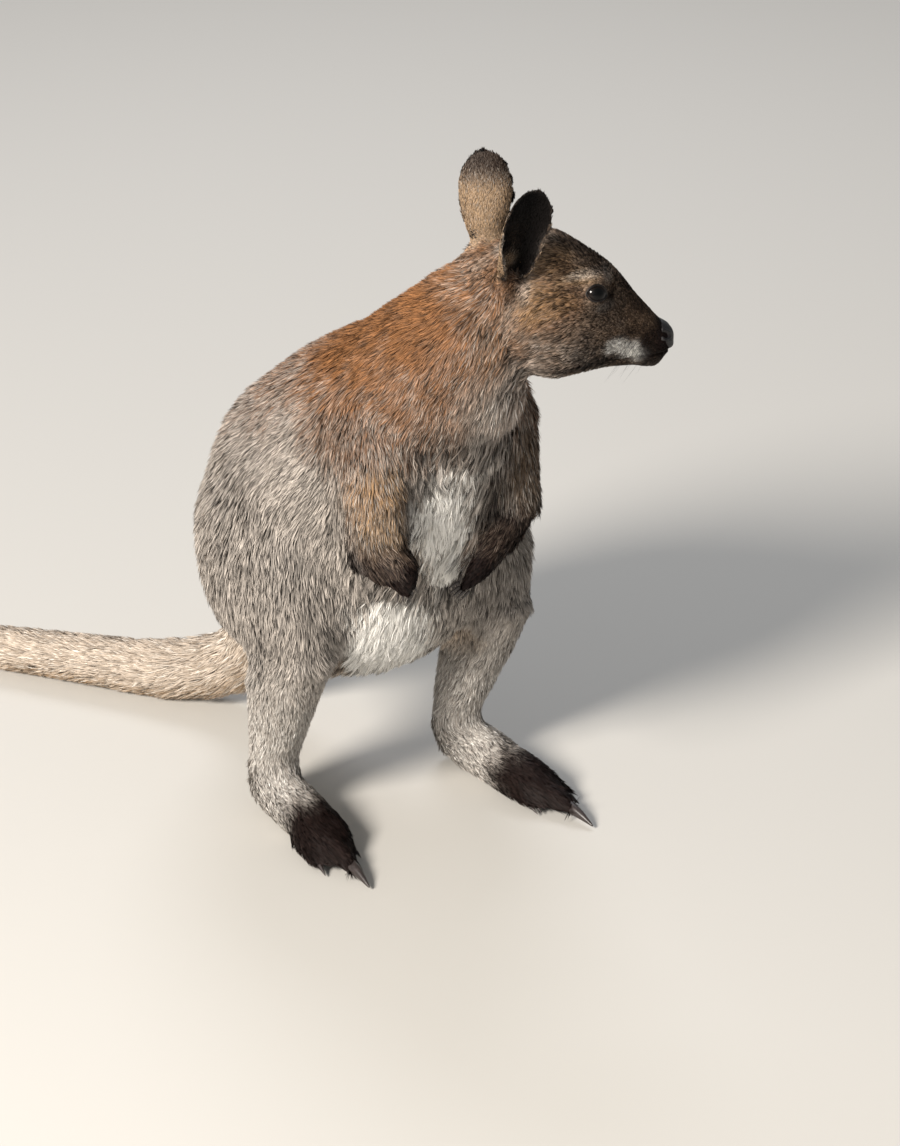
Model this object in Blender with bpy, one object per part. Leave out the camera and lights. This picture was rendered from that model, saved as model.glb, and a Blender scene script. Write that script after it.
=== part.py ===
"""A life-size still model of a red-necked wallaby that crouches upright and looks to its left.

Metres, +Z up. While it is modelled the body's own middle plane is X = 0, the breast faces -Y and the floor
is Z = 0. The last step moves the whole animal so that the origin is under the middle of its bounding box.
The forms reach to the tips of the coat.
"""

import math
from collections import namedtuple

import bmesh
import bpy
from mathutils import Matrix, Vector

# Driving dimensions
FOOT_LENGTH = 0.176  # heel to the tip of the fourth toe, without its claw
HEAD_LENGTH = 0.163  # nape to the tip of the nose
EAR_HEIGHT = 0.085
EAR_HALF_WIDTH = 0.0245
EYE_RADIUS = 0.0105
GAP = 0.0004  # the thin cut between two neighbouring pieces
FLOOR = 0.0

# The head's own frame: its origin is in the nape, x runs to the nose, y to the animal's left, z up
NAPE = Vector((0.0, -0.007, 0.546))
HEAD_TURN = math.radians(-18)  # from +X: the head looks 72 degrees to the left of the breast
HEAD_FRAME = Matrix.Translation(NAPE) @ Matrix.Rotation(HEAD_TURN, 4, "Z")

EAR_ROOT_WIDTH = 0.52  # as a share of the widest
EAR_WIDEST = 0.60  # how far up the ear is widest, as a share of its height

# Mesh sizes
BODY_VOXEL = 0.0062
HEAD_VOXEL = 0.0032
BODY_TRIANGLES = 2000
HEAD_TRIANGLES = 1050

SIDES = {"left": 1.0, "right": -1.0}

# One cross-section of a tube: its centre, half its width, half its depth, its power (over 2 is boxy), and how much
# narrower it is on its upper side
Ring = namedtuple("Ring", "x y z wide deep power egg", defaults=(2.0, 0.0))

COLOURS = {
    "grey_coat": ((0.235, 0.195, 0.165), 0.85),
    "rufous_coat": ((0.36, 0.17, 0.085), 0.85),
    "pale_coat": ((0.42, 0.38, 0.33), 0.85),
    "dark_coat": ((0.03, 0.021, 0.018), 0.8),
    "nose_skin": ((0.012, 0.011, 0.012), 0.35),
    "eye": ((0.012, 0.008, 0.006), 0.05),
    "claw": ((0.06, 0.05, 0.045), 0.4),
}


# ---------------------------------------------------------------- scene and materials


def clear_scene():
    for old in list(bpy.data.objects):
        bpy.data.objects.remove(old)


def material(name):
    """A Principled BSDF with one of the colours above."""
    found = bpy.data.materials.get(name)
    if found:
        return found
    colour, roughness = COLOURS[name]
    made = bpy.data.materials.new(name)
    made.use_nodes = True
    shader = made.node_tree.nodes["Principled BSDF"]
    shader.inputs["Base Color"].default_value = (*colour, 1.0)
    shader.inputs["Roughness"].default_value = roughness
    shader.inputs["Metallic"].default_value = 0.0
    made.diffuse_color = (*colour, 1.0)
    return made


def new_object(name, mesh):
    made = bpy.data.objects.new(name, mesh)
    bpy.context.scene.collection.objects.link(made)
    return made


def finish(body, name, finish_name):
    """Names a piece, gives it its material and shades it smooth."""
    body.name = name
    body.data.name = name
    body.data.materials.clear()
    body.data.materials.append(material(finish_name))
    body.data.shade_smooth()
    return body


# ---------------------------------------------------------------- building forms


def spline(rows, share):
    """The Catmull-Rom curve through rows of numbers, at a share from 0 to 1 of its spans."""
    at = share * (len(rows) - 1)
    i = min(int(at), len(rows) - 2)
    t = at - i
    before, start = rows[max(i - 1, 0)], rows[i]
    end, after = rows[i + 1], rows[min(i + 2, len(rows) - 1)]
    made = []
    for a, b, c, d in zip(before, start, end, after):
        bend = 2 * a - 5 * b + 4 * c - d
        twist = -a + 3 * b - 3 * c + d
        made.append(0.5 * (2 * b + (c - a) * t + bend * t * t + twist * t**3))
    return made


def rounded(value, power):
    """A cosine or sine made boxier (power over 2) for a superellipse."""
    return math.copysign(abs(value) ** (2.0 / power), value)


def skin_over(name, sections):
    """A closed mesh over a row of equal rings of points, with a fan at each end."""
    mesh = bmesh.new()
    loops = [[mesh.verts.new(p) for p in section] for section in sections]
    count = len(loops[0])
    for lower, upper in zip(loops, loops[1:]):
        for k in range(count):
            m = (k + 1) % count
            mesh.faces.new((lower[k], lower[m], upper[m], upper[k]))
    for loop, flip in ((loops[0], True), (loops[-1], False)):
        middle = mesh.verts.new(sum((v.co for v in loop), Vector()) / count)
        for k in range(count):
            a, b = loop[k], loop[(k + 1) % count]
            mesh.faces.new((b, a, middle) if flip else (a, b, middle))
    bmesh.ops.recalc_face_normals(mesh, faces=mesh.faces)
    made = bpy.data.meshes.new(name)
    mesh.to_mesh(made)
    mesh.free()
    return new_object(name, made)


def tube(name, rings, lateral=(1, 0, 0), around=28, per_ring=5, round_ends=4, facing=None):
    """A closed tube through the rings, with its width along lateral.

    Each section stands across the path, or across the direction facing if there is one.
    """
    steps = per_ring * (len(rings) - 1)
    rows = [Ring(*spline(rings, i / steps)) for i in range(steps + 1)]
    centres = [Vector(row[:3]) for row in rows]
    sections = []

    def section(centre, ahead, row, size=1.0):
        across = Vector(lateral) - Vector(lateral).dot(ahead) * ahead
        across.normalize()
        upward = ahead.cross(across)
        points = []
        for k in range(around):
            turn = 2 * math.pi * k / around
            side = size * row.wide * rounded(math.cos(turn), row.power) * (1 - row.egg * math.sin(turn))
            rise = size * row.deep * rounded(math.sin(turn), row.power)
            points.append(centre + side * across + rise * upward)
        sections.append(points)

    def dome(row, ahead, outward):
        """The rings that round off one end, from the widest out to the tip, or back."""
        reach = 0.8 * min(row.wide, row.deep)
        order = range(round_ends, 0, -1) if outward < 0 else range(1, round_ends + 1)
        for k in order:
            angle = 0.5 * math.pi * k / (round_ends + 0.4)
            centre = Vector(row[:3]) + outward * reach * math.sin(angle) * ahead
            section(centre, ahead, row, math.cos(angle))

    aheads = []
    for i in range(len(centres)):
        step = centres[min(i + 1, steps)] - centres[max(i - 1, 0)]
        aheads.append(Vector(facing) if facing else step.normalized())
    dome(rows[0], aheads[0], -1)
    for row, centre, ahead in zip(rows, centres, aheads):
        section(centre, ahead, row)
    dome(rows[-1], aheads[-1], 1)
    return skin_over(name, sections)


def ball(name, centre, radii, turn=None, segments=24, rings=16):
    """An ellipsoid, turned by a matrix before it is set in place."""
    mesh = bmesh.new()
    bmesh.ops.create_uvsphere(mesh, u_segments=segments, v_segments=rings, radius=1.0)
    place = Matrix.Translation(centre) @ (turn or Matrix()) @ Matrix.Diagonal((*radii, 1.0))
    bmesh.ops.transform(mesh, matrix=place, verts=mesh.verts)
    made = bpy.data.meshes.new(name)
    mesh.to_mesh(made)
    mesh.free()
    return new_object(name, made)


def mirrored(rings, side):
    """The same rings on the animal's left (+1) or right (-1)."""
    return [ring._replace(x=side * ring.x) for ring in rings]


def in_head(points):
    """Points of the head's frame, in the model's."""
    return [HEAD_FRAME @ Vector(p) for p in points]


def apply_modifiers(body):
    graph = bpy.context.evaluated_depsgraph_get()
    graph.update()
    made = bpy.data.meshes.new_from_object(body.evaluated_get(graph))
    body.modifiers.clear()
    old = body.data
    body.data = made
    bpy.data.meshes.remove(old)
    return body


def fused(name, forms, voxel, smoothing, triangles):
    """One closed surface over overlapping forms: joined, voxel remeshed, smoothed and reduced."""
    mesh = bmesh.new()
    for form in forms:
        mesh.from_mesh(form.data)
        bpy.data.objects.remove(form)
    joined = bpy.data.meshes.new(name)
    mesh.to_mesh(joined)
    mesh.free()
    body = new_object(name, joined)
    remesh = body.modifiers.new("fuse", "REMESH")
    remesh.mode = "VOXEL"
    remesh.voxel_size = voxel
    smooth = body.modifiers.new("soften", "SMOOTH")
    smooth.factor = 0.5
    smooth.iterations = smoothing
    apply_modifiers(body)
    reduce = body.modifiers.new("reduce", "DECIMATE")
    reduce.ratio = min(1.0, triangles / (2 * len(body.data.polygons)))
    return apply_modifiers(body)


# ---------------------------------------------------------------- cutting


def largest_only(body):
    """Drops crumbs that a cut leaves, and keeps the largest connected piece."""
    mesh = bmesh.new()
    mesh.from_mesh(body.data)
    left = set(mesh.verts)
    groups = []
    while left:
        group, front = set(), [left.pop()]
        while front:
            vert = front.pop()
            group.add(vert)
            near = {edge.other_vert(vert) for edge in vert.link_edges} & left
            left -= near
            front.extend(near)
        groups.append(group)
    groups.sort(key=len)
    for group in groups[:-1]:
        bmesh.ops.delete(mesh, geom=list(group), context="VERTS")
    mesh.to_mesh(body.data)
    mesh.free()
    return body


def half(body, point, normal, keep_above=True):
    """body on one side of a plane, closed by a flat face. The plane is moved by half a gap into what is kept."""
    normal = Vector(normal).normalized()
    mesh = bmesh.new()
    mesh.from_mesh(body.data)
    inward = normal if keep_above else -normal
    bmesh.ops.bisect_plane(
        mesh,
        geom=[*mesh.verts, *mesh.edges, *mesh.faces],
        dist=1e-6,
        plane_co=Vector(point) + inward * GAP / 2,
        plane_no=normal,
        clear_inner=keep_above,
        clear_outer=not keep_above,
    )
    rim = [edge for edge in mesh.edges if edge.is_boundary]
    bmesh.ops.triangle_fill(mesh, use_beauty=True, edges=rim)
    bmesh.ops.recalc_face_normals(mesh, faces=mesh.faces)
    mesh.to_mesh(body.data)
    mesh.free()
    return largest_only(body)


def copy_of(body, name):
    return new_object(name, body.data.copy())


def halves(body, point, normal, above_name):
    """Parts body at a plane. Returns (what is above it, what is left)."""
    above = half(copy_of(body, above_name), point, normal, True)
    return above, half(body, point, normal, False)


def boolean(body, cutter, operation):
    """Cuts body with a hidden helper and applies the cut."""
    cutter.hide_render = True
    cutter.display_type = "WIRE"
    cut = body.modifiers.new("cut", "BOOLEAN")
    cut.object = cutter
    cut.operation = operation
    cut.solver = "EXACT"
    apply_modifiers(body)
    bpy.data.objects.remove(cutter)
    return largest_only(body)


def grown(body, growth):
    """body with every point moved along its normal."""
    normals = [v.normal.copy() for v in body.data.vertices]
    for vert, normal in zip(body.data.vertices, normals):
        vert.co += growth * normal
    return body


def carve(body, name, cutter):
    """Parts body at the surface of a rounded cutter, and leaves a gap there. Returns what was inside it."""
    piece = boolean(copy_of(body, name), grown(copy_of(cutter, "inner"), -GAP), "INTERSECT")
    boolean(body, grown(cutter, GAP / 2), "DIFFERENCE")
    return piece


def keep_clear(piece, other):
    """Takes away from piece what lies in another one or within the gap of it."""
    return boolean(piece, grown(copy_of(other, "clearance"), GAP), "DIFFERENCE")


def prism(name, outline, start, end, frame=None):
    """A block over an outline of (y, z) corners, from one x to another."""
    mesh = bmesh.new()
    near = [mesh.verts.new((start, y, z)) for y, z in outline]
    far = [mesh.verts.new((end, y, z)) for y, z in outline]
    count = len(outline)
    for k in range(count):
        m = (k + 1) % count
        mesh.faces.new((near[k], near[m], far[m], far[k]))
    mesh.faces.new(near)
    mesh.faces.new(far)
    bmesh.ops.transform(mesh, matrix=frame or Matrix(), verts=mesh.verts)
    bmesh.ops.recalc_face_normals(mesh, faces=mesh.faces)
    made = bpy.data.meshes.new(name)
    mesh.to_mesh(made)
    mesh.free()
    return new_object(name, made)


def sleeve(name, rings, growth):
    """A coarse convex bag round a limb, to part it from the body with."""
    mesh = bmesh.new()
    for ring in rings:
        wide, deep = ring.wide + growth, ring.deep + growth
        bmesh.ops.create_icosphere(
            mesh, subdivisions=2, radius=1.0, matrix=Matrix.LocRotScale(ring[:3], None, (wide, deep, deep))
        )
    bag = bmesh.ops.convex_hull(mesh, input=mesh.verts)
    inside = [item for item in bag["geom_interior"] if isinstance(item, bmesh.types.BMVert)]
    bmesh.ops.delete(mesh, geom=inside, context="VERTS")
    hull = {item for item in bag["geom"] if isinstance(item, bmesh.types.BMFace)}
    bmesh.ops.delete(mesh, geom=[face for face in mesh.faces if face not in hull], context="FACES")
    bmesh.ops.recalc_face_normals(mesh, faces=mesh.faces)
    made = bpy.data.meshes.new(name)
    mesh.to_mesh(made)
    mesh.free()
    return new_object(name, made)


# ---------------------------------------------------------------- the body's forms


def trunk_form():
    return tube(
        "trunk_form",
        [
            Ring(-0.004, 0.335, 0.158, 0.062, 0.055),
            Ring(-0.006, 0.300, 0.208, 0.104, 0.112, 2.1, 0.05),
            Ring(-0.006, 0.226, 0.263, 0.128, 0.150, 2.1, 0.08),
            Ring(-0.006, 0.165, 0.335, 0.122, 0.131, 2.0, 0.05),
            Ring(-0.010, 0.108, 0.398, 0.104, 0.106),
            Ring(-0.012, 0.066, 0.448, 0.086, 0.083),
            Ring(-0.006, 0.033, 0.490, 0.068, 0.069),
        ],
        around=40,
    )


def neck_form():
    return tube(
        "neck_form",
        [
            Ring(-0.010, 0.056, 0.462, 0.078, 0.079),
            Ring(-0.003, 0.026, 0.502, 0.060, 0.066),
            Ring(0.009, 0.004, 0.534, 0.048, 0.056),
            Ring(0.028, -0.012, 0.544, 0.041, 0.052),
        ],
        around=32,
    )


def head_form():
    """Skull and muzzle across the head's own axis: distance from the nape, half width, top, bottom and egg shape."""
    sections = (
        (-0.004, 0.034, 0.034, -0.046, 2.0, 0.00),
        (0.014, 0.0390, 0.049, -0.060, 2.0, 0.05),
        (0.034, 0.0410, 0.0560, -0.070, 2.1, 0.08),
        (0.056, 0.0400, 0.0575, -0.075, 2.1, 0.10),
        (0.072, 0.0375, 0.0495, -0.0735, 2.1, 0.12),
        (0.088, 0.0335, 0.0380, -0.0715, 2.1, 0.16),
        (0.102, 0.0290, 0.0275, -0.0705, 2.1, 0.20),
        (0.114, 0.0250, 0.0145, -0.0705, 2.1, 0.22),
        (0.123, 0.0225, 0.0015, -0.0710, 2.1, 0.22),
        (0.131, 0.0210, -0.0095, -0.0720, 2.2, 0.20),
        (0.139, 0.0195, -0.0185, -0.0740, 2.2, 0.16),
        (0.146, 0.0172, -0.0262, -0.0735, 2.2, 0.10),
        (0.151, 0.0135, -0.0330, -0.0655, 2.1, 0.05),
    )
    rings = [
        Ring(along, 0, (top + bottom) / 2, wide, (top - bottom) / 2, power, egg)
        for along, wide, top, bottom, power, egg in sections
    ]
    form = tube("head_form", rings, lateral=(0, 1, 0), around=36, per_ring=4, facing=(1, 0, 0))
    form.data.transform(HEAD_FRAME)
    return form


def cheek_forms():
    """The jaw muscles and the brows over the eyes."""
    forms = []
    for side in SIDES.values():
        cheek = ball("cheek", (0.058, side * 0.0190, -0.035), (0.036, 0.0225, 0.031))
        brow = ball("brow", (0.083, side * 0.0190, 0.0150), (0.022, 0.0115, 0.0120))
        lip = ball("lip", (0.139, side * 0.0088, -0.051), (0.018, 0.0105, 0.0150))
        for form in (cheek, brow, lip):
            form.data.transform(HEAD_FRAME)
            forms.append(form)
    return forms


def ear_root_forms():
    """The short stalks that the ears grow from."""
    forms = []
    for name, side in SIDES.items():
        base, rise, across, opening = ear_axes(side)
        foot = base - 0.020 * rise
        path = [Ring(*foot, 0.017, 0.015), Ring(*(base - 0.006 * rise), 0.0130, 0.0115)]
        forms.append(tube("ear_root_" + name, path, lateral=across, around=20))
    return forms


# The thighs as on the left side. The right one is set a little wider.
THIGH = [
    Ring(0.056, 0.285, 0.252, 0.056, 0.078),
    Ring(0.081, 0.225, 0.252, 0.061, 0.099),
    Ring(0.094, 0.176, 0.242, 0.057, 0.090),
    Ring(0.100, 0.145, 0.222, 0.046, 0.066),
    Ring(0.101, 0.130, 0.205, 0.035, 0.045),
]
STANCE = {"left": 0.0, "right": -0.010}
SHANKS = {
    "left": [
        Ring(0.101, 0.130, 0.206, 0.036, 0.046),
        Ring(0.100, 0.150, 0.163, 0.036, 0.043),
        Ring(0.095, 0.166, 0.115, 0.0295, 0.036),
        Ring(0.091, 0.179, 0.072, 0.024, 0.030),
        Ring(0.090, 0.184, 0.036, 0.0215, 0.0270),
    ],
    "right": [
        Ring(-0.111, 0.130, 0.206, 0.036, 0.046),
        Ring(-0.111, 0.152, 0.163, 0.036, 0.043),
        Ring(-0.107, 0.172, 0.115, 0.0295, 0.036),
        Ring(-0.103, 0.189, 0.072, 0.024, 0.030),
        Ring(-0.101, 0.197, 0.036, 0.0215, 0.0270),
    ],
}
UPPER_ARMS = {
    "left": [
        Ring(0.066, 0.074, 0.425, 0.030, 0.036),
        Ring(0.067, 0.063, 0.375, 0.027, 0.033),
        Ring(0.068, 0.056, 0.325, 0.026, 0.029),
    ],
    "right": [
        Ring(-0.078, 0.066, 0.425, 0.032, 0.037),
        Ring(-0.083, 0.044, 0.375, 0.030, 0.035),
        Ring(-0.086, 0.036, 0.330, 0.028, 0.031),
    ],
}
# Ankle to toe, for each foot: where the heel stands and how far the foot turns outward
FEET = {"left": ((0.090, 0.200), math.radians(9)), "right": ((-0.102, 0.218), math.radians(1))}


def thigh_rings(name):
    return [ring._replace(x=ring.x + STANCE[name]) for ring in mirrored(THIGH, SIDES[name])]


def leg_forms():
    forms = []
    for name in SIDES:
        forms.append(tube("thigh_form", thigh_rings(name), around=32))
        forms.append(tube("shank_form", SHANKS[name], around=24))
    return forms


def foot_frame(name):
    """The foot's own frame: x runs from heel to toes, y to the outer side of the foot, z up."""
    (x, y), splay = FEET[name]
    side = SIDES[name]
    turn = Matrix.Rotation(math.radians(-90) + side * splay, 4, "Z")
    return Matrix.Translation((x, y, FLOOR)) @ turn @ Matrix.Diagonal((1, side, 1, 1))


# The foot's forms in its own frame. y is towards the outer side.
SOLE = [
    Ring(0.006, 0, 0.020, 0.016, 0.020),
    Ring(0.024, 0, 0.027, 0.0215, 0.030),
    Ring(0.055, 0, 0.024, 0.0225, 0.028),
    Ring(0.090, 0, 0.020, 0.0245, 0.024),
    Ring(0.116, 0.001, 0.017, 0.0270, 0.020),
    Ring(0.130, 0.002, 0.013, 0.0215, 0.015),
]
FOURTH_TOE = [
    Ring(0.110, 0.002, 0.015, 0.0155, 0.018),
    Ring(0.140, 0.002, 0.013, 0.0145, 0.0150),
    Ring(0.166, 0.002, 0.0095, 0.0105, 0.0105),
]
FIFTH_TOE = [
    Ring(0.098, 0.017, 0.011, 0.0105, 0.013),
    Ring(0.125, 0.0225, 0.010, 0.0095, 0.0110),
    Ring(0.142, 0.0245, 0.007, 0.0070, 0.0075),
]
GROOMING_TOES = [
    Ring(0.098, -0.016, 0.010, 0.0085, 0.011),
    Ring(0.124, -0.0185, 0.009, 0.0075, 0.0085),
    Ring(0.139, -0.0190, 0.0065, 0.0058, 0.0062),
]


def foot_forms():
    forms = []
    for name in SIDES:
        frame = foot_frame(name)
        for form_name, rings in (
            ("sole", SOLE),
            ("fourth_toe", FOURTH_TOE),
            ("fifth_toe", FIFTH_TOE),
            ("grooming_toes", GROOMING_TOES),
        ):
            form = tube(form_name, rings, lateral=(0, 1, 0), around=24)
            form.data.transform(frame)
            if frame.determinant() < 0:
                form.data.flip_normals()
            forms.append(form)
    return forms


TAIL = [
    Ring(0.000, 0.318, 0.170, 0.054, 0.058),
    Ring(-0.002, 0.352, 0.112, 0.044, 0.046),
    Ring(-0.020, 0.390, 0.056, 0.036, 0.037),
    Ring(-0.062, 0.445, 0.030, 0.031, 0.032),
    Ring(-0.112, 0.510, 0.0255, 0.0275, 0.0275),
    Ring(-0.165, 0.580, 0.0230, 0.0245, 0.0245),
    Ring(-0.222, 0.650, 0.0195, 0.0210, 0.0210),
    Ring(-0.290, 0.712, 0.0155, 0.0170, 0.0170),
    Ring(-0.366, 0.758, 0.0110, 0.0125, 0.0125),
    Ring(-0.430, 0.785, 0.0065, 0.0078, 0.0078),
]


def tail_form():
    return tube("tail_form", TAIL, lateral=(0.8, 0.6, 0), around=24, per_ring=4)


# Elbow to finger tips, both arms. The left hand hangs nearer the middle of the breast than the right one.
FOREARMS = {
    "left": [
        Ring(0.066, 0.055, 0.318, 0.021, 0.024),
        Ring(0.048, 0.040, 0.303, 0.0175, 0.019),
        Ring(0.028, 0.032, 0.290, 0.0140, 0.0145),
    ],
    "right": [
        Ring(-0.088, 0.040, 0.322, 0.026, 0.027),
        Ring(-0.086, 0.022, 0.318, 0.0230, 0.0250),
        Ring(-0.083, 0.006, 0.314, 0.0185, 0.0190),
    ],
}
HANDS = {
    "left": [
        Ring(0.028, 0.032, 0.290, 0.0130, 0.0135),
        Ring(0.014, 0.031, 0.277, 0.0130, 0.0110),
        Ring(0.002, 0.034, 0.265, 0.0105, 0.0080),
    ],
    "right": [
        Ring(-0.083, 0.006, 0.316, 0.0175, 0.0180),
        Ring(-0.081, 0.000, 0.307, 0.0160, 0.0140),
        Ring(-0.079, 0.002, 0.297, 0.0125, 0.0100),
    ],
}


def arm_forms():
    forms = []
    for name in SIDES:
        forms.append(tube("upper_arm_form", UPPER_ARMS[name], lateral=(1, 0, 0), around=24))
        forms.append(tube("forearm_form", FOREARMS[name], lateral=(0, 0, 1), around=20))
        forms.append(tube("hand_form", HANDS[name], lateral=(0.7, 0.7, 0), around=18))
    return forms


# ---------------------------------------------------------------- ears, eyes, nose and claws


def ear_axes(side):
    """(base, rise, across, opening) of an ear: unit vectors up its length, across its width and out of its cup."""
    base = HEAD_FRAME @ Vector((0.006 - 0.001 * side, side * 0.030, 0.033))
    tip = HEAD_FRAME @ Vector((0.016 - 0.006 * side, side * 0.054, 0.113))
    rise = (tip - base).normalized()
    outward = HEAD_FRAME.to_3x3() @ Vector((0.30, side * 1.0, 0.0))
    opening = (outward - outward.dot(rise) * rise).normalized()
    return base, rise, rise.cross(opening), opening


def ear_width(share):
    """The ear's width, as a share of the widest: it swells from its root and ends in a round tip."""
    if share > EAR_WIDEST:
        return math.sqrt(max(0.0, 1.0 - ((share - EAR_WIDEST) / (1.0 - EAR_WIDEST)) ** 2))
    return EAR_ROOT_WIDTH + (1.0 - EAR_ROOT_WIDTH) * math.sin(0.5 * math.pi * share / EAR_WIDEST) ** 1.4


def ear(name, side, wall=0.0034, up_steps=9, around=9):
    """A leaf-shaped cup with a wall, open to the side, rolled to a tube at its foot."""
    base, rise, across, opening = ear_axes(side)
    forward = across if across.dot(HEAD_FRAME.to_3x3() @ Vector((1, 0, 0))) > 0 else -across

    def leaf(share, fan, inset):
        """A point of the cup: share up its height, fan from -1 at the rear rim to 1 at the front rim."""
        swell = ear_width(share)
        wide = EAR_HALF_WIDTH * swell - inset
        hollow = EAR_HALF_WIDTH * (1.10 - 0.72 * share) * swell - inset
        spread = math.radians(150 - 62 * min(1.0, share / 0.35))
        turn = fan * spread
        lean = 0.006 * math.sin(math.pi * share)
        height = EAR_HEIGHT * share - inset * 0.6 * share
        return (
            base
            + height * rise
            + (max(wide, 0.0008) * math.sin(turn) / math.sin(min(spread, math.pi / 2))) * forward
            - (max(hollow, 0.0008) * (math.cos(turn) - 0.25)) * opening
            + lean * opening
        )

    mesh = bmesh.new()
    sheets = []
    for inset in (0.0, wall):
        sheet = []
        for i in range(up_steps + 1):
            climb = 1.0 - (1.0 - i / up_steps) ** 1.6  # the rows close up towards the round tip
            share = 0.05 + 0.93 * climb if inset else 0.02 + 0.975 * climb
            row = []
            for k in range(around + 1):
                fan = 2.0 * k / around - 1.0
                row.append(mesh.verts.new(leaf(share, fan * (0.93 if inset else 1.0), inset)))
            sheet.append(row)
        sheets.append(sheet)
    outer, inner = sheets
    for i in range(up_steps):
        for k in range(around):
            mesh.faces.new((outer[i][k], outer[i][k + 1], outer[i + 1][k + 1], outer[i + 1][k]))
            mesh.faces.new((inner[i][k], inner[i + 1][k], inner[i + 1][k + 1], inner[i][k + 1]))
        for k in (0, around):
            mesh.faces.new((outer[i][k], outer[i + 1][k], inner[i + 1][k], inner[i][k]))
    for i in (0, up_steps):
        for k in range(around):
            mesh.faces.new((outer[i][k], outer[i][k + 1], inner[i][k + 1], inner[i][k]))
    bmesh.ops.recalc_face_normals(mesh, faces=mesh.faces)
    made = bpy.data.meshes.new(name)
    mesh.to_mesh(made)
    mesh.free()
    return new_object(name, made)


def eye(name, side):
    centre = HEAD_FRAME @ Vector((0.0830, side * 0.0258, 0.0070))
    return ball(name, centre, (EYE_RADIUS,) * 3, segments=14, rings=9)


def nose():
    """The bare pad round the nostrils."""
    centre = HEAD_FRAME @ Vector((0.1545, 0, -0.0455))
    turn = HEAD_FRAME.to_3x3().to_4x4() @ Matrix.Rotation(math.radians(-20), 4, "Y")
    return ball("nose", centre, (0.0098, 0.0120, 0.0125), turn, segments=14, rings=9)


def claw(name, frame, root, tip, radius, droop, around=5):
    """A tapered, slightly hooked claw from root to tip, in the given frame."""
    root, tip = Vector(root), Vector(tip)
    middle = (root + tip) / 2 + Vector((0, 0, droop))
    rings = [
        Ring(*root, radius, radius * 1.15),
        Ring(*middle, radius * 0.72, radius * 0.82),
        Ring(*tip, radius * 0.16, radius * 0.18),
    ]
    made = tube(name, rings, lateral=(0, 1, 0), around=around, per_ring=1 if around < 8 else 2, round_ends=1)
    made.data.transform(frame)
    if frame.determinant() < 0:
        made.data.flip_normals()
    return made


def foot_claws(name):
    frame = foot_frame(name)
    return [
        claw(f"claw_fourth_{name}", frame, (0.160, 0.002, 0.0110), (0.198, 0.002, 0.0035), 0.0062, 0.0022, 10),
        claw(f"claw_fifth_{name}", frame, (0.138, 0.0220, 0.0078), (0.158, 0.0235, 0.0025), 0.0036, 0.0012),
        claw(f"claw_groom_outer_{name}", frame, (0.138, -0.0148, 0.0070), (0.149, -0.0145, 0.0030), 0.0019, 0.0006),
        claw(f"claw_groom_inner_{name}", frame, (0.138, -0.0192, 0.0066), (0.148, -0.0194, 0.0028), 0.0019, 0.0006),
    ]


def hand_claws(name, count=5):
    """Five claws in a fan at the end of a hand."""
    wrist, tip = Vector(HANDS[name][0][:3]), Vector(HANDS[name][-1][:3])
    down = (tip - wrist).normalized()
    across = down.cross(Vector((0, -1, 0))).normalized()
    claws = []
    for i in range(count):
        offset = (i - (count - 1) / 2) / ((count - 1) / 2)
        root = tip + 0.0080 * offset * across + down * (0.0045 - 0.0030 * offset**2)
        reach = down * 0.0095 + across * 0.0022 * offset + Vector((0, 0.0030, 0))
        claws.append(claw(f"claw_hand_{name}_{i + 1}", Matrix(), root, root + reach, 0.0018, 0.0))
    return claws


# ---------------------------------------------------------------- putting it together


def whole_body():
    """Trunk, neck, legs, arms and tail in one skin, flat where it stands on the floor."""
    forms = [trunk_form(), neck_form(), head_form(), tail_form()]
    forms += leg_forms() + foot_forms() + arm_forms()
    body = fused("body", forms, BODY_VOXEL, 3, BODY_TRIANGLES)
    return half(body, (0, 0, FLOOR - GAP / 2), (0, 0, 1), True)


def whole_head():
    forms = [head_form(), neck_form(), *cheek_forms(), *ear_root_forms()]
    return fused("head", forms, HEAD_VOXEL, 5, HEAD_TRIANGLES)


def part_head(head, pieces):
    """Nose, lower jaw, eyes and ears."""
    pieces["nose"] = (carve(head, "nose", nose()), "nose_skin")
    # Below the mouth, in the head's frame turned so that its side is the prism's length
    mouth = ((0.098, -0.0575), (0.130, -0.0600), (0.175, -0.0580), (0.175, -0.095), (0.088, -0.095))
    turned = HEAD_FRAME @ Matrix.Rotation(math.radians(-90), 4, "Z")
    jaw = prism("jaw_cutter", [(along, height) for along, height in mouth], -0.05, 0.05, turned)
    pieces["lower_jaw"] = (carve(head, "lower_jaw", jaw), "grey_coat")
    for name, side in SIDES.items():
        ball_of_eye = eye("eye_" + name, side)
        boolean(head, grown(copy_of(ball_of_eye, "socket"), GAP), "DIFFERENCE")
        pieces["eye_" + name] = (ball_of_eye, "eye")
    pieces["head"] = (head, "grey_coat")
    for name, side in SIDES.items():
        pieces["ear_" + name] = (keep_clear(ear("ear_" + name, side), head), "dark_coat")


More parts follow.
